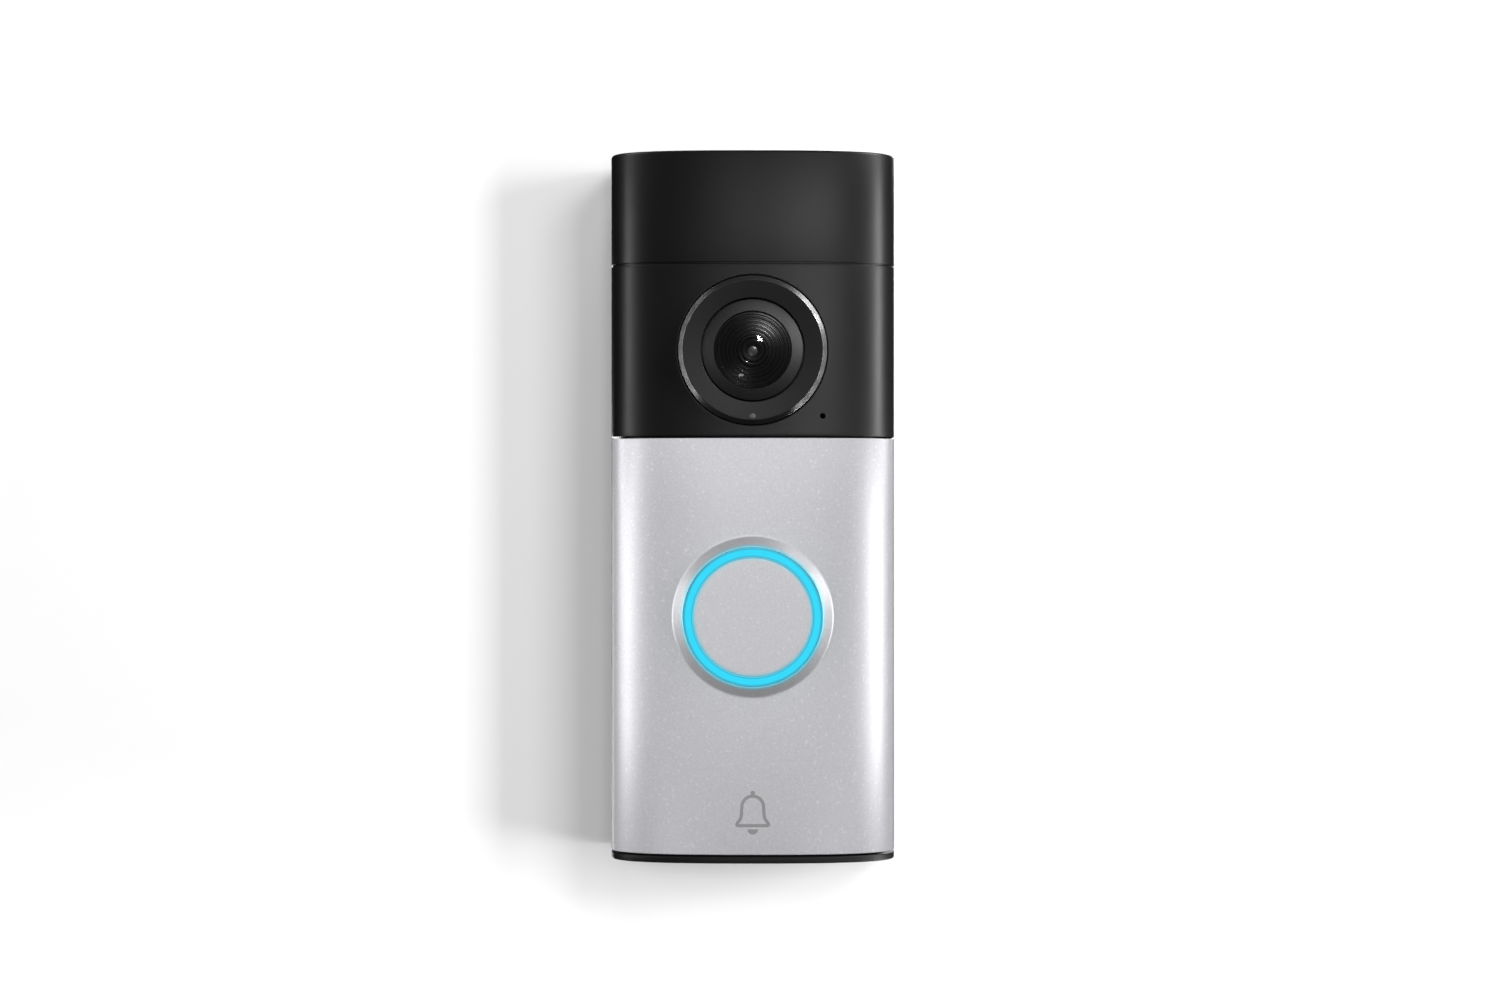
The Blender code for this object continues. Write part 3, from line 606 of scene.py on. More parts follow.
def glass_look(name, tint, strength, roughness=0.01):
    """Thin clear glass: a weak mirror over whatever lies behind it, with the faintest unevenness."""
    t = Tree(name)
    faint = t.noise(3.0, 1.0)
    t.to_shader("Base Color", t.mix(faint, shade(tint, 0.96), shade(tint, 1.0)))
    t.to_shader("Roughness", roughness)
    t.to_shader("Metallic", 1.0)
    t.to_shader("Alpha", strength)
    return t.material


def glow_look(name, colour, edge_colour):
    """A frosted light guide: bright along its middle, deeper in colour towards both edges."""
    t = Tree(name)
    middle_line = 10.39
    off_middle = t.maths("ABSOLUTE", t.maths("SUBTRACT", radius_from(t, BUTTON_LEVEL), middle_line * MM))
    edge = t.step(off_middle, 0.43, 0.52)
    halo = t.step(off_middle, 0.62, 0.74)
    cloud = t.spread(t.noise(2.5, 2.0), 0.0, 1.0)
    bright = t.mix(cloud, shade(colour, 0.97), shade(colour, 1.0))
    t.to_shader("Base Color", t.mix(cloud, (0.004, 0.030, 0.040, 1), (0.005, 0.034, 0.044, 1)))
    t.to_shader("Roughness", t.spread(t.noise(0.3), 0.42, 0.50))
    t.to_shader("Specular IOR Level", 0.1)
    glow = t.mix(edge, bright, (*edge_colour, 1.0))
    t.to_shader("Emission Color", t.mix(halo, glow, (0.17, 0.56, 0.72, 1)))
    t.to_shader("Emission Strength", 1.0)
    return t.material


def board_look(name):
    """Green solder resist over copper tracks, with bright pads here and there."""
    t = Tree(name)
    turned = t.node("ShaderNodeMapping", {"Vector": t.place, "Rotation": (math.pi / 2, 0, 0)})
    bricks = {
        "Vector": turned.outputs["Vector"],
        "Scale": 260.0,
        "Mortar Size": 0.045,
        "Color1": (0.010, 0.115, 0.050, 1),
        "Color2": (0.012, 0.130, 0.058, 1),
        "Mortar": (0.030, 0.230, 0.110, 1),
    }
    tracks = t.node("ShaderNodeTexBrick", bricks)
    pads = t.node("ShaderNodeTexVoronoi", {"Vector": t.place, "Scale": 420.0}).outputs["Distance"]
    pad = t.spread(pads, 1.0, 0.0, 0.13, 0.16)
    t.to_shader("Base Color", t.mix(pad, tracks.outputs["Color"], (0.70, 0.66, 0.55, 1)))
    t.to_shader("Roughness", t.spread(t.noise(0.6), 0.35, 0.50))
    t.to_shader("Metallic", t.times(pad, 0.8))
    t.bump(tracks.outputs["Fac"], 0.3, 0.02)
    return t.material


# How each look is made. A moulded one has its colour, roughness, metallic share, grain size and bump depth
# in millimetres, and where they differ from the usual its specular level and colour drift.
LOOKS = {
    "satin_black": (satin_black_look,),
    "bezel_black": (bezel_look,),
    "housing_black": (moulded, (0.006, 0.006, 0.0064), 0.46, 0.0, 0.35, 0.006, 0.22),
    "lens_matte_black": (turned_look, (0.0055, 0.0055, 0.0056), 0.32, 0.66, 0.45, 0.035, 0.30),
    "silver_face": (silver_look,),
    "silver_button": (silver_look,),
    "lens_ring_grey": (turned_look, (0.010, 0.010, 0.0105), 0.34),
    "dome_glass": (glass_look, (1.0, 1.0, 1.0), 0.0012, 0.06),
    "coated_lens": (glass_look, (0.70, 0.72, 0.85), 0.03),
    "cover_lens": (glass_look, (0.95, 0.96, 1.0), 0.03, 0.05),
    "light_diffuser": (glow_look, (0.032, 0.675, 0.925), (0.035, 0.430, 0.600)),
    "black_rubber": (moulded, (0.020, 0.020, 0.020), 0.78, 0.0, 0.4, 0.02, 0.3),
    "circuit_board": (board_look,),
    "screw_steel": (moulded, (0.55, 0.55, 0.56), 0.30, 1.0, 0.2, 0.006),
    "tinned_steel": (moulded, (0.62, 0.62, 0.60), 0.34, 1.0, 0.5, 0.008),
    "terminal_brass": (moulded, (0.72, 0.52, 0.22), 0.30, 1.0, 0.4, 0.006),
    "coil_copper": (moulded, (0.62, 0.26, 0.12), 0.35, 0.9, 0.3, 0.02),
    "spreader_aluminium": (moulded, (0.74, 0.75, 0.76), 0.36, 1.0, 0.4, 0.006),
    "thermal_pad_grey": (moulded, (0.33, 0.35, 0.39), 0.80, 0.0, 0.6, 0.03),
    "ferrite_grey": (moulded, (0.06, 0.06, 0.065), 0.60, 0.0, 0.3, 0.02),
    "capacitor_sleeve": (moulded, (0.035, 0.045, 0.085), 0.30, 0.0, 1.0, 0.004),
    "sensor_chip": (moulded, (0.03, 0.05, 0.07), 0.12, 0.4, 0.2, 0.001),
    "infrared_dark": (moulded, (0.06, 0.008, 0.02), 0.12, 0.0, 0.8, 0.001),
    "white_plastic": (moulded, (0.72, 0.72, 0.70), 0.42, 0.0, 0.35, 0.006, 0.5, 0.04),
    "flex_film": (moulded, (0.50, 0.26, 0.05), 0.28, 0.0, 1.2, 0.004),
    "cone_film": (moulded, (0.06, 0.06, 0.06), 0.60, 0.0, 0.3, 0.01),
    "print_grey": (moulded, (0.30, 0.30, 0.31), 0.50, 0.0, 0.2, 0.003, 0.5, 0.06),
    "mic_mesh": (moulded, (0.002, 0.002, 0.002), 0.9, 0.0, 0.1, 0.01, 0.05),
    "sensor_window": (moulded, (0.10, 0.10, 0.105), 0.35, 0.0, 0.5, 0.01, 0.5, 0.7),
    "iris": (moulded, (0.07, 0.07, 0.074), 0.25, 0.3, 0.12, 0.01, 0.5, 0.5),
}
looks = {slot: make(slot + "_look", *values) for slot, (make, *values) in LOOKS.items()}


def dress_cad_nodes():
    """Gives every CAD node its slot's material."""
    for entry in frame["record"]["subparts"]:
        node = frame["nodes"][entry["node"]]
        node.data.materials.clear()
        node.data.materials.append(looks[entry["material_slot"]])


# ---------------------------------------------------------------- outer pieces


def soft_max(a, b, width):
    """The larger of two heights, with a fillet where they meet."""
    share = max(0.0, width - abs(a - b)) / width
    return max(a, b) + share * share * width / 4


def collar_relief():
    """Circles and depths of the raised collar round the button."""
    foot, rim, hole, lip = 13.0, 11.36, 11.22, 0.10
    crest = -plate_low.y
    slope_top, slope_foot = rim + 0.09, foot - 0.30
    radii = [hole + d for d in (0.0, 0.01, 0.03, 0.06, lip)]
    radii += [rim + 0.03 * k for k in range(4)]
    radii += [slope_top + (slope_foot - slope_top) * k / 6 for k in range(1, 7)]
    radii += [slope_foot + 0.075 * k for k in range(1, 10)]

    def relief(radius, angle):
        plain = front_depth(radius * math.cos(angle), 0)
        base = front_depth(foot * math.cos(angle), 0)
        slope = crest + (base - crest) * (radius - rim) / (foot - rim)
        top = -soft_max(-crest, -slope, 0.10)
        if radius < hole + lip:
            t = 1 - (radius - hole) / lip
            top -= 0.09 * (1 - math.sqrt(max(0.0, 1 - t * t)))
        return soft_max(top, plain, 0.16)

    return radii, relief


def build_faceplate():
    radii, relief = collar_relief()
    bm = skin(plate_low.z, plate_high.z, 0.14, REACH, (BUTTON_LEVEL, radii, relief))
    plate = piece("faceplate_skin", bm, "faceplate", "silver_face", ["faceplate"])
    plate.visible_diffuse = plate.visible_glossy = False


def build_camera_panel():
    """The black band round the bezel, with a softened hole and the microphone's pinhole."""
    hole, lip = 12.15, 0.12
    radii = [hole, hole + 0.02, hole + 0.06, hole + lip, hole + 0.35]

    def relief(radius, angle):
        t = min(1.0, (radius - hole) / lip)
        return front_depth(radius * math.cos(angle), 0) - 0.10 * (1 - math.sqrt(1 - (1 - t) ** 2))

    bm = skin(panel_low.z, panel_high.z, 0.10, 13.2, (CAMERA_LEVEL, radii, relief))
    bm = carve(bm, post(MIC_X, MIC_Z, 0.47, 15.0, 24.0, 32))
    piece("camera_panel_skin", bm, "housing", "satin_black", ["camera_panel"])


def build_mic_boot():
    """The black boot with its closed dust mesh, deep in the microphone hole."""
    outline = [(0, 16.8), (1.2, 16.8), (1.2, 19.3), (0.5, 19.3), (0.46, 18.3), (0, 18.25)]
    bm = lathe(rounded(outline, 0.06, 3, closed=False), MIC_X, MIC_Z, 40)
    piece("mic_boot_fine", bm, "housing", "black_rubber", ["mic_boot"], looks["mic_mesh"])


def build_top_cap():
    bm = capped_skin(cap_low.z - 0.04, cap_high.z, 0.10, 0.45, (0.24, 0.20))
    piece("top_cap_skin", bm, "housing", "satin_black", ["top_cap"])


def build_rear_housing():
    """The tub with its crowned bottom lip, wall-screw columns, wire pocket and screw recesses."""
    flange = cover_high.x + 0.8
    tub = soft_block((-flange, flange), (0.0, 2.7), (BOTTOM, TOP), 0.35)
    low, high, rim = -54.8, 55.4, 11.8
    half, wall = cover_high.x, 1.6
    tub = weld(tub, soft_block((-half, half), (1.0, rim), (low, high), 0))
    tub = carve(tub, soft_block((wall - half, half - wall), (2.7, rim + 1), (low + wall, high - wall), 0))
    tub = weld(tub, crown_slab(BOTTOM, BOTTOM + 1.1, 0.22, 1.0))
    bore = [(0, -1), (2.75, -1), (2.75, 0.0), (2.25, 0.5), (2.25, 13), (0, 13)]
    for z in BORE_LEVELS:
        for x in (-SCREW_SIDE, SCREW_SIDE):
            tub = weld(tub, post(x, z, 3.4, 1.0, rim - 0.3))
            tub = carve(tub, lathe(bore, x, z, 40))
    tub = weld(tub, soft_block((-12.2, 12.2), (1.0, 8.5), (-35.2, -12.8), 0))
    tub = carve(tub, soft_block((-11, 11), (-1.0, 7.3), (-34.0, -14.0), 0.8))
    tub = carve(tub, soft_block((-8.3, 8.3), (6.0, 9.5), (-22.3, -15.2), 0))
    recess = [(0, -1), (2.95, -1), (2.95, 0), (2.8, 0.15), (2.8, 1.6), (1.3, 1.6), (1.3, 4), (0, 4)]
    for z in SCREW_LEVELS.values():
        for x in (-SCREW_SIDE, SCREW_SIDE):
            tub = carve(tub, lathe(recess, x, z, 40))
    mouth = [(0, -1), (2.75, -1), (2.75, 0), (2.6, 0.15), (2.6, 1.6), (0, 1.6)]
    tub = carve(tub, upright([(radius, BOTTOM + up) for radius, up in mouth], 0, SECURITY_DEPTH, 40))
    shank = [(0, -56.0), (1.3, -56.0), (1.3, -50.0), (0, -50.0)]
    tub = carve(tub, upright(shank, 0, SECURITY_DEPTH, 24))
    piece("rear_shell", tub, "housing", "housing_black", ["rear_housing"])


def build_front_cover():
    """The sealed front under the faceplate, with its grille and screw wells."""
    low, high = cover_low.z, cover_high.z
    inset = HALF - cover_high.x
    bm = skin(low, high, 0.4, REACH, None, inset, 1.4, 12.9)
    for z0, z1 in ((low, low + 1.5), (high - 1.5, high)):
        bm = weld(bm, crown_slab(z0 + 0.02, z1 - 0.02, 0.35, 13.0, inset + 0.02))

    def hole(x, z, radius, steps):
        return carve(bm, post(x, z, radius, 12.0, 24.0, steps))

    bm = hole(0, CAMERA_LEVEL, 13.6, 96)
    bm = hole(0, BUTTON_LEVEL, 12.0, 96)
    bm = hole(MIC_X, MIC_Z, 1.6, 24)
    bm = hole(*middle("setup_button"), 2.35, 32)
    for z in BORE_LEVELS:
        for x in (-SCREW_SIDE, SCREW_SIDE):
            bm = hole(x, z, 3.8, 40)
    speaker_z = middle("speaker_magnet")[1]
    for ring, count in ((0.0, 1), (3.2, 6), (6.2, 8)):
        for k in range(count):
            a = 2 * math.pi * k / count
            bm = hole(ring * math.cos(a), speaker_z + ring * math.sin(a), 0.8, 20)
    piece("front_cover_shell", bm, "housing", "housing_black", ["inner_front_cover"])


# ---------------------------------------------------------------- camera


def build_bezel():
    """The raised disc with its polished chamfer, slightly dished towards the lens ring."""
    rim, chamfer, bore, dish = 12.0, 0.72, 8.4, 0.16
    edge, face = rim - chamfer, BEZEL_FACE
    slope = dish / (edge - bore)
    # The chamfer has a close point on both sides of each corner, which keeps its shading flat
    outline = [
        (bore, face - dish), (bore + 0.12, face - dish + 0.12 * slope), (edge - 0.12, face - 0.12 * slope),
        (edge, face), (edge + 0.08, face - 0.08), (rim - 0.08, face - chamfer + 0.08),
        (rim, face - chamfer), (rim, 17.6), (13.2, 17.6), (13.2, 16.8),
        (10.8, 16.8), (10.8, 21.1), (9.3, 21.1), (9.3, 16.8), (7.2, 16.8), (7.2, 20.7), (bore, 20.7),
    ]
    bm = lathe(rounded(outline, 0.04), 0, CAMERA_LEVEL, 160)
    piece("bezel_disc", bm, "housing", "satin_black", ["camera_bezel"], looks["bezel_black"])


def build_light_sensor():
    """The light sensor's small window, at the foot of the bezel."""
    below = [(0, 0.9), (0.5, 0.9), (0.5, 0.03), (0.36, 0.01), (0, 0.005)]
    outline = [(radius, BEZEL_FACE - d) for radius, d in below]
    bm = lathe(outline, 0, CAMERA_LEVEL - 10.75, 32)
    piece("light_sensor_window", bm, "housing", "sensor_chip", look=looks["sensor_window"])


def build_lens_ring():
    """The grey ring between bezel and dome, which falls away outwards."""
    inner, outer = 6.32, 8.13
    back, front = depths("lens_ring")
    outline = [
        (inner, back), (outer, back), (outer, front - 0.32), (outer - 0.04, front - 0.28),
        (outer - 0.12, front - 0.265), (inner + 0.1, front - 0.008), (inner, front),
    ]
    bm = lathe(outline, 0, CAMERA_LEVEL, 160)
    piece("lens_ring_fine", bm, "housing", "lens_ring_grey", ["lens_ring"])


def dome_curve(rim, edge_depth, top_depth, steps):
    """A spherical cap from its rim to its pole, as (radius, depth)."""
    rise = top_depth - edge_depth
    radius = (rim * rim + rise * rise) / (2 * rise)
    points = []
    for k in range(steps + 1):
        r = rim * math.cos(math.pi / 2 * k / steps)
        depth = edge_depth + math.sqrt(radius * radius - r * r) - (radius - rise)
        points.append((r if k < steps else 0.0, depth))
    return points


def build_dome():
    rim, seat = 6.2, 21.05
    front = dome_curve(rim, 21.75, depths("lens_window")[1], 20)
    inside = dome_curve(5.6, seat, 22.05, 14)
    outline = [(0, inside[-1][1])] + inside[:-1][::-1] + [(rim, seat)] + front
    piece("dome_window", lathe(outline, 0, CAMERA_LEVEL, 96), "housing", "dome_glass", ["lens_window"])


NOSE = 20.0  # depth of the small lens's mount, at the foot of the cone


def build_hood():
    """The stepped cone inside a dark groove: fine rings down to the small lens, leaning outwards."""
    back, front = depths("lens_hood")
    top_radius, low_radius = 6.11, 2.66
    rings = 12
    wide, step = (top_radius - low_radius) / rings, (front - NOSE) / rings
    outline = [(6.9, back), (6.9, front), (6.36, front), (6.34, front - 0.8), (6.13, front - 0.8)]
    for k in range(rings):
        outer, depth = top_radius - k * wide, front - (k + 1) * step
        # The rings lean most about halfway down the cone
        rise = 0.07 + 0.035 * math.exp(-((outer - 4.5) ** 2))
        outline += [(outer - 0.02, depth - 0.02), (outer - wide + 0.02, depth + rise)]
    outline += [(low_radius, back)]
    bm = lathe(rounded(outline, 0.04, 2), 0, CAMERA_LEVEL, 96)
    piece("hood_cone", bm, "housing", "lens_matte_black", ["lens_hood"])


def lens_disc(radius, back, edge, top, curve_steps, steps):
    """A small round lens, flat behind and domed in front. Its depths count from the mount's nose."""
    outline = [(0, NOSE + back), (radius, NOSE + back)]
    outline += dome_curve(radius, NOSE + edge, NOSE + top, curve_steps)
    return lathe(outline, 0, CAMERA_LEVEL, steps)


def build_lens():
    """The lens mount with its black groove, the two small lenses, and the pale iris behind them."""
    nose = depths("lens_barrel")[1]
    barrel = [
        (2.60, nose), (2.60, NOSE), (2.12, NOSE + 0.04), (2.08, NOSE - 1.1), (1.86, NOSE - 1.1),
        (1.82, NOSE - 0.35), (0.86, NOSE - 0.45), (0.80, NOSE - 0.9), (0.80, 15.2), (3.8, 15.2),
        (3.8, nose - 0.8), (2.60, nose - 0.8),
    ]
    bm = lathe(rounded(barrel, 0.06), 0, CAMERA_LEVEL, 64)
    piece("barrel_nose", bm, "housing", "lens_matte_black", ["lens_barrel"])
    bm = lens_disc(0.78, -0.9, -0.8, -0.3, 10, 64)
    piece("small_lens", bm, "housing", "coated_lens", ["front_lens"])
    bm = lens_disc(2.58, 0.08, 0.12, 0.68, 14, 96)
    piece("cover_lens", bm, "housing", "coated_lens", look=looks["cover_lens"])
    bm = lens_disc(0.76, -1.4, -1.3, -1.15, 8, 48)
    piece("iris_disc", bm, "housing", "coated_lens", look=looks["iris"])


# ---------------------------------------------------------------- button


def build_light_ring():
    inner, outer = 9.58, span("light_ring")[1].x - 0.05
    back, front = depths("light_ring")
    outline = rounded([(inner, back), (outer, back), (outer, front), (inner, front)], 0.16, 5)
    bm = lathe(outline, 0, BUTTON_LEVEL, 160)
    glow = piece("glow_ring", bm, "housing", "light_diffuser", ["light_ring"])
    glow.visible_glossy = False


def build_button():
    radius, face = span("button_cap")[1].x, depths("button_cap")[1]
    soft = 0.14
    stem = [(0, 18.2), (2.5, 18.2), (2.5, 21.0), (8.4, 21.0), (8.4, 19.6), (radius, 19.6)]
    outline = rounded(stem + [(radius, face - soft)], 0.12, 3, closed=False)
    outline += arc((radius - soft, face - soft), soft, 0, 90, 6)[1:]
    outline += [(radius - 0.9, face), (radius * 0.5, face), (0, face)]
    bm = lathe(outline, 0, BUTTON_LEVEL, 160)
    button = piece("button_disc", bm, "button", "silver_button", ["button_cap"])
    button.visible_glossy = False


def printed(bm, loops, level):
    """Adds thin print that follows the crown.

    A pair of loops is a closed stroke and a single loop a filled spot.
    """

    def on_crown(x, z, lift):
        return bm.verts.new((x, -front_depth(x, 0) - lift, level + z))

    for loop in loops:
        front = [[on_crown(x, z, 0.02) for x, z in side] for side in loop]
        back = [[on_crown(x, z, -0.04) for x, z in side] for side in loop]
        count = len(loop[0])
        if len(loop) == 1:
            bm.faces.new(front[0])
            bm.faces.new(back[0][::-1])
        for k in range(count):
            n = (k + 1) % count
            if len(loop) == 2:
                bm.faces.new([front[0][k], front[0][n], front[1][n], front[1][k]])
                bm.faces.new([back[0][k], back[1][k], back[1][n], back[0][n]])
                bm.faces.new([front[1][k], front[1][n], back[1][n], back[1][k]])
            bm.faces.new([front[0][n], front[0][k], back[0][k], back[0][n]])


def stroke(path, width):
    """The two edges of a closed line of even width."""
    sides = ([], [])
    count = len(path)
    for k in range(count):
        here, before, after = Vector(path[k]), Vector(path[k - 1]), Vector(path[(k + 1) % count])
        ahead = ((here - before).normalized() + (after - here).normalized()).normalized()
        across = Vector((ahead.y, -ahead.x)) * width / 2
        sides[0].append(tuple(here + across))
        sides[1].append(tuple(here - across))
    return list(sides)


def build_bell_mark():
    """A small plain bell, printed low on the faceplate."""
    level = -49.4
    dome = arc((0, 1.05), 1.75, 0, 180, 24)
    path = dome + [(-1.85, -0.7), (-2.75, -1.95), (2.75, -1.95), (1.85, -0.7)]
    outline = stroke(rounded(path, 0.5, 6), 0.52)
    clapper = arc((0, -2.55), 0.85, 180, 360, 16)
    knob = arc((0, 3.3), 0.36, 0, 360, 16)[:-1]
    bm = bmesh.new()
    printed(bm, (outline, [clapper], [knob]), level)
    piece("bell_mark", bm, "faceplate", "lens_ring_grey", look=looks["print_grey"])


# ---------------------------------------------------------------- fasteners


def cross_recess(x, z, face, size, depth):
    """Two crossed cutters for a screw's drive."""
    thin = size * 0.22
    return [
        soft_block((x - size, x + size), (face - 1.0, face + depth), (z - thin, z + thin), 0),
        soft_block((x - thin, x + thin), (face - 1.0, face + depth), (z - size, z + size), 0),
    ]


def build_housing_screws():
    head = [(0, 0.2), (1.7, 0.22), (2.1, 0.42), (2.3, 0.8), (2.3, 1.3)]
    shank = [(1.0, 1.3), (1.0, 8.6), (0.7, 8.8), (0, 8.8)]
    for row, z in SCREW_LEVELS.items():
        for side, x in (("left", -SCREW_SIDE), ("right", SCREW_SIDE)):
            bm = lathe(rounded(head + shank, 0.08, 3, closed=False), x, z, 48)
            bm = carve(bm, *cross_recess(x, z, 0.2, 1.25, 0.6))
            node = f"housing_screw_{row}_{side}"
            piece(node + "_fine", bm, "housing", "screw_steel", [node])


def build_terminal_screws():
    """The two wire screws, each through its brass plate."""
    level = TERMINAL_LEVEL
    outline = [(0, 2.4), (2.45, 2.4), (2.7, 2.65), (2.7, 4.0), (1.3, 4.0), (1.3, 8.0), (0, 8.0)]
    for side, x in (("left", -TERMINAL_SIDE), ("right", TERMINAL_SIDE)):
        bm = lathe(rounded(outline, 0.1, 3, closed=False), x, level, 48)
        bm = carve(bm, soft_block((x - 4, x + 4), (1.5, 3.0), (level - 0.4, level + 0.4), 0))
        node = f"terminal_screw_{side}"
        piece(node + "_fine", bm, "housing", "screw_steel", [node])
        plate = soft_block((x - 3.2, x + 3.2), (4.3, 4.9), (-21.7, -15.8), 0.15)
        plate = carve(plate, post(x, level, 1.6, 3.0, 6.0, 32))
        node = f"terminal_plate_{side}"
        piece(node + "_fine", plate, "housing", "terminal_brass", [node])


def build_security_screw():
    low = BOTTOM + 0.2
    head = [(0, low), (2.0, low), (2.3, low + 0.3), (2.3, low + 0.9)]
    shank = [(1.0, low + 0.9), (1.0, -51.5), (0, -51.5)]
    bm = upright(rounded(head + shank, 0.08, 3, closed=False), 0, SECURITY_DEPTH, 48)
    star = [(0, low - 0.5), (1.1, low - 0.5), (1.1, low + 0.6), (0, low + 0.6)]
    bm = carve(bm, upright(star, 0, SECURITY_DEPTH, 6))
    piece("security_screw_fine", bm, "housing", "screw_steel", ["security_screw"])


def build_terminal_block():
    """The terminal block with a ridge between its two screws."""
    bm = soft_block((-8.0, 8.0), (5.2, 8.9), (-22.0, -15.5), 0.25)
    bm = weld(bm, soft_block((-0.5, 0.5), (4.4, 6.0), (-21.8, -15.7), 0.12))
    for x in (-TERMINAL_SIDE, TERMINAL_SIDE):
        bm = carve(bm, post(x, TERMINAL_LEVEL, 1.6, 4.0, 8.3, 24))
    piece("terminal_block_fine", bm, "housing", "housing_black", ["terminal_block"])


# ---------------------------------------------------------------- stage, light and camera


def plane(name, corners, material):
    mesh = bpy.data.meshes.new(name)
    mesh.from_pydata(corners, [], [(0, 1, 2, 3)])
    obj = placed(name, mesh)
    mesh.materials.append(material)
    return obj


def stage_look(name, colour, lift=0.0, one_sided=False):
    """Plain matt paint, lifted a little towards white.

    A one-sided sheet is clear from behind, so that the back of the object can be seen.
    """
    t = Tree(name)
    t.to_shader("Base Color", colour)
    t.to_shader("Roughness", 0.9)
    t.to_shader("Specular IOR Level", 0.0)
    t.to_shader("Emission Color", (1, 1, 1, 1))
    t.to_shader("Emission Strength", lift)
    if one_sided:
        side = t.node("ShaderNodeNewGeometry").outputs["Backfacing"]
        clear = t.node("ShaderNodeBsdfTransparent").outputs["BSDF"]
        pick = t.node("ShaderNodeMixShader", {0: side, 1: t.shader.outputs["BSDF"], 2: clear})
        out = t.tree.nodes["Material Output"]
        t.tree.links.new(pick.outputs["Shader"], out.inputs["Surface"])
    return t.material


def build_stage():
    """The wall sheet just behind the object, and the floor sheet below it."""
    gap, reach, floor_level, top = 0.0006, 1.6, -0.6, 1.4
    wall = plane(
        "wall_sheet",
        [(-reach, gap, floor_level), (reach, gap, floor_level), (reach, gap, top), (-reach, gap, top)],
        stage_look("wall_paint", (0.88, 0.88, 0.88, 1), 0.002, one_sided=True),
    )
    wall.visible_shadow = False
    wall.visible_glossy = False
    corners = ((-reach, -reach), (reach, -reach), (reach, reach), (-reach, reach))
    floor = plane(
        "floor_sheet",
        [(x, y, floor_level) for x, y in corners],
        stage_look("floor_paint", (0.80, 0.80, 0.80, 1)),
    )
    floor.visible_diffuse = False
    floor.visible_glossy = False


OBJECT_MIDDLE = Vector((0.0, -0.01, 0.0))
LIGHT_DISTANCE = 0.9


def around(azimuth, elevation):
    """A place on a sphere round the object: azimuth 0 is straight ahead, 90 along the wall to the right."""
    a, e = math.radians(azimuth), math.radians(elevation)
    ahead = Vector((math.cos(e) * math.sin(a), -math.cos(e) * math.cos(a), math.sin(e)))
    return OBJECT_MIDDLE + ahead * LIGHT_DISTANCE


def beside(angle, ahead):
    """A place beside the object, turned ahead from the wall plane: angle 0 is right of it, 90 above it."""
    a, h = math.radians(angle), math.radians(ahead)
    aside = Vector((math.cos(h) * math.cos(a), -math.sin(h), math.cos(h) * math.sin(a)))
    return OBJECT_MIDDLE + aside * LIGHT_DISTANCE


# Soft panels for each group of parts: place, width and height in metres, and power in watts
TALL = (0.14, 0.50)
HIGH = (0.16, 0.35)
WIDE = (0.30, 0.35)
SQUARE = (0.16, 0.16)
SMALL = (0.08, 0.08)


def arc_of_panels(first, last, power, step=15):
    """Equal small panels beside the object, a step of degrees apart."""
    return tuple((beside(angle, 10), SQUARE, power) for angle in range(first, last + 1, step))


# Black parts: bright to the right, most of all from low down, with a weaker left side and little in front
DARK_PANELS = (
    (around(80, -40), HIGH, 20.0),
    (around(68, 0), TALL, 6.0),
    (around(66, 40), HIGH, 8.0),
    (around(12, 8), WIDE, 1.6),
    (around(-64, 0), TALL, 2.6),
    (around(-66, 40), HIGH, 3.0),
)
# Wall: lit mostly from the right and from above, so that the shadow falls to the left and below
WALL_PANELS = (
    (around(85, 0), TALL, 15.0),
    (around(52, 0), TALL, 6.0),
    (around(30, 25), WIDE, 3.0),
    (around(10, 70), WIDE, 2.5),
    (around(0, 0), WIDE, 2.0),
    (around(-25, 10), WIDE, 1.2),
    (around(-45, 0), TALL, 1.0),
)
# Silver parts: front lights, two lights along each side, and small near ones for the collar's flanks
SILVER_PANELS = (
    (around(85, 20), TALL, 2.0),
    (around(75, 55), WIDE, 1.5),
    (around(52, 0), TALL, 0.9),
    (around(18, 25), WIDE, 1.0),
    (around(-18, 25), WIDE, 1.0),
    (around(0, 5), WIDE, 0.8),
    (around(20, -25), WIDE, 0.6),
    (around(-20, -25), WIDE, 0.6),
    (around(-52, 15), TALL, 1.4),
    (around(-85, 10), TALL, 1.5),
    ((0.20, -0.10, -0.03), SMALL, 0.15),
    ((-0.20, -0.10, -0.03), SMALL, 0.11),
)
# Glints in the dome and the lens, and the large highlight on the hood
DOME_PANELS = ((around(-14.5, -24), (0.08, 0.03), 1.0),)
LENS_PANELS = (
    (around(26, 42), (0.21, 0.29), 9.5),
    (around(-18, -28), (0.09, 0.05), 0.5),
)
# Bezel and ring: a strong key at the upper right, and an arc of weak panels along each side for the chamfer
BEZEL_PANELS = (
    *arc_of_panels(30, 45, 6.5),
    *arc_of_panels(-45, 15, 0.7),
    *arc_of_panels(135, 210, 0.8),
    (around(24, 12), SQUARE, 1.5),
    (around(5, 15), SQUARE, 0.7),
    (around(-18, 5), SQUARE, 0.25),
)
PANEL_GROUPS = {
    "wall": (("wall_sheet",), WALL_PANELS),
    "silver": (("faceplate_skin", "button_disc", "bell_mark"), SILVER_PANELS),
    "bezel": (("bezel_disc", "lens_ring_fine", "light_sensor_window"), BEZEL_PANELS),
    "dome": (("dome_window",), DOME_PANELS),
    "lens": (("hood_cone", "barrel_nose", "cover_lens", "small_lens", "iris_disc"), LENS_PANELS),
}

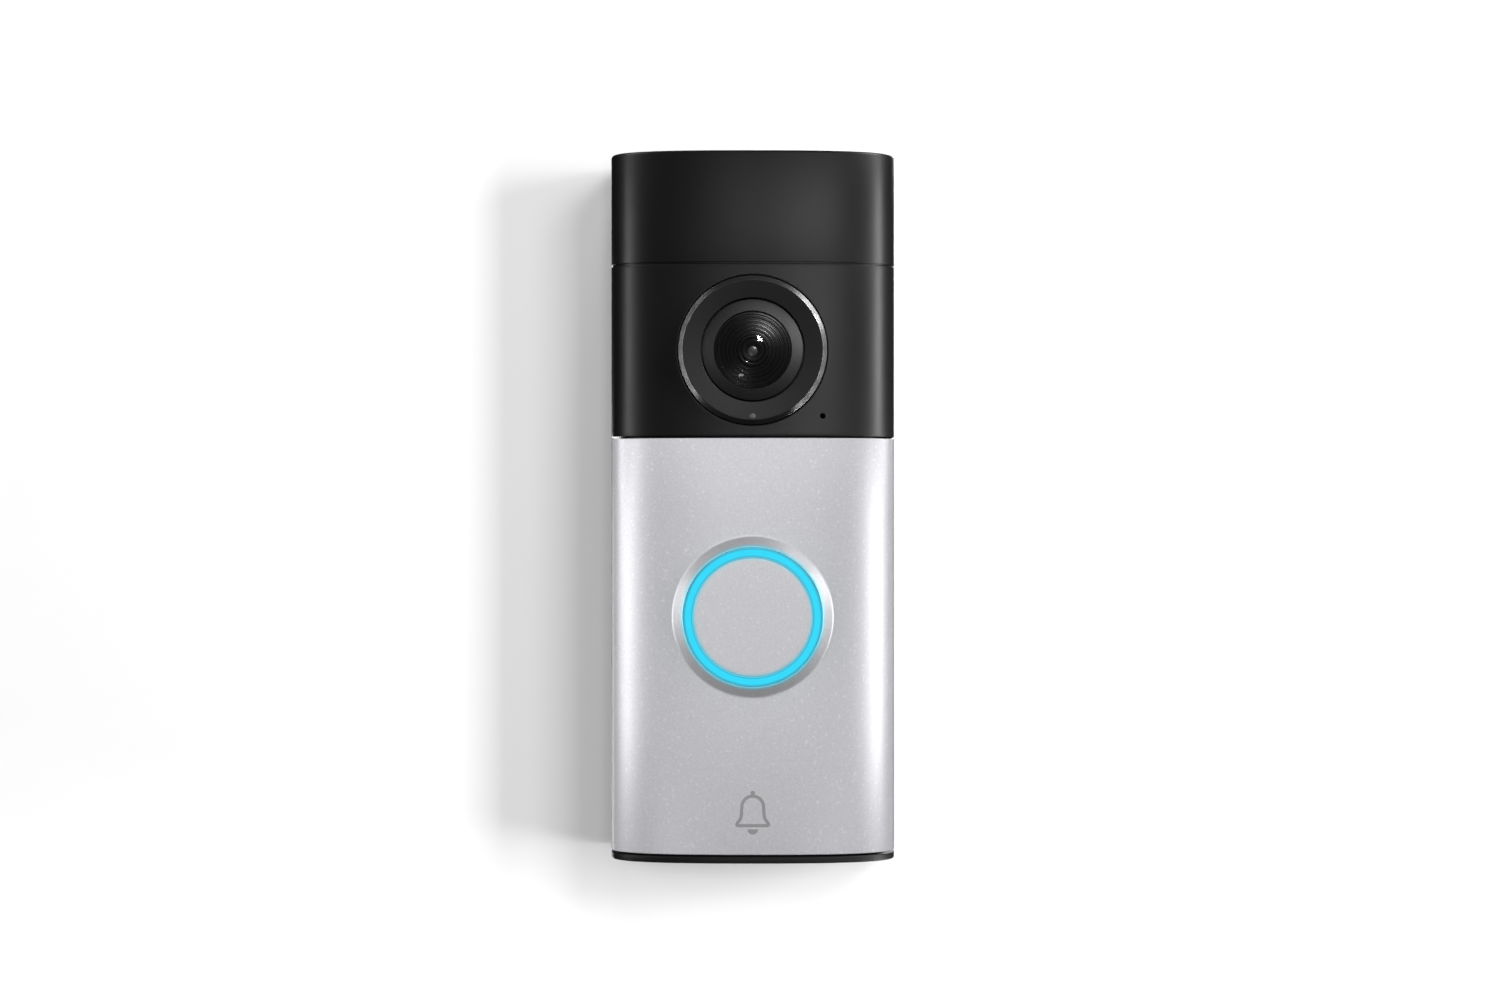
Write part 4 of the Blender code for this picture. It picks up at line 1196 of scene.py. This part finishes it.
# Lights behind the wall sheet, which show the back of the object when it is looked at from there
REAR_SIZE = (0.5, 0.5)
REAR_LIGHTS = (("rear_high", around(165, 30), 6.0), ("rear_low", around(-160, -15), 4.0))


def lamp(name, place, size, power):
    """A rectangular soft light at a place, turned to the object."""
    data = bpy.data.lights.new(name, "AREA")
    data.shape = "RECTANGLE"
    data.size, data.size_y = size
    data.energy = power
    obj = placed(name, data)
    obj.location = place
    obj.rotation_mode = "QUATERNION"
    obj.rotation_quaternion = (OBJECT_MIDDLE - Vector(place)).to_track_quat("-Z", "Y")
    obj.visible_camera = False
    return obj


def light_group(group, pieces, state, panels):
    """Panels that light only these pieces, or everything but them."""
    receivers = bpy.data.collections.new(group + "_receivers")
    for name in pieces:
        receivers.objects.link(bpy.data.objects[name])
    for entry in receivers.collection_objects:
        entry.light_linking.link_state = state
    for place, size, power in panels:
        panel = lamp(group + "_panel", place, size, power)
        panel.data.use_shadow = group not in ("lens", "dome")
        panel.light_linking.receiver_collection = receivers


def build_lights():
    world = bpy.data.worlds.new("studio")
    world.use_nodes = True
    world.node_tree.nodes["Background"].inputs["Strength"].default_value = 0.0
    bpy.context.scene.world = world
    special = []
    for group, (pieces, panels) in PANEL_GROUPS.items():
        light_group(group, pieces, "INCLUDE", panels)
        special += pieces
    light_group("dark", special, "EXCLUDE", DARK_PANELS)
    for name, place, power in REAR_LIGHTS:
        lamp(name, place, REAR_SIZE, power)


def build_camera():
    """Square on to the front, level with the object's middle."""
    distance = 416.5  # millimetres from the wall plane, so 395 from the crown
    data = bpy.data.cameras.new("view")
    data.sensor_width = 36.0
    data.lens = 58.872
    data.shift_x = -0.0018
    data.shift_y = 0.0045
    data.clip_start = 0.01
    cam = placed("view", data)
    cam.location = (0, -distance * MM, 0)
    cam.rotation_euler = (math.pi / 2, 0, 0)
    bpy.context.scene.camera = cam
    bpy.context.scene.view_settings.view_transform = "Standard"


dress_cad_nodes()
build_faceplate()
build_camera_panel()
build_mic_boot()
build_top_cap()
build_rear_housing()
build_front_cover()
build_bezel()
build_light_sensor()
build_lens_ring()
build_dome()
build_hood()
build_lens()
build_light_ring()
build_button()
build_bell_mark()
build_housing_screws()
build_terminal_screws()
build_security_screw()
build_terminal_block()
build_stage()
build_lights()
build_camera()
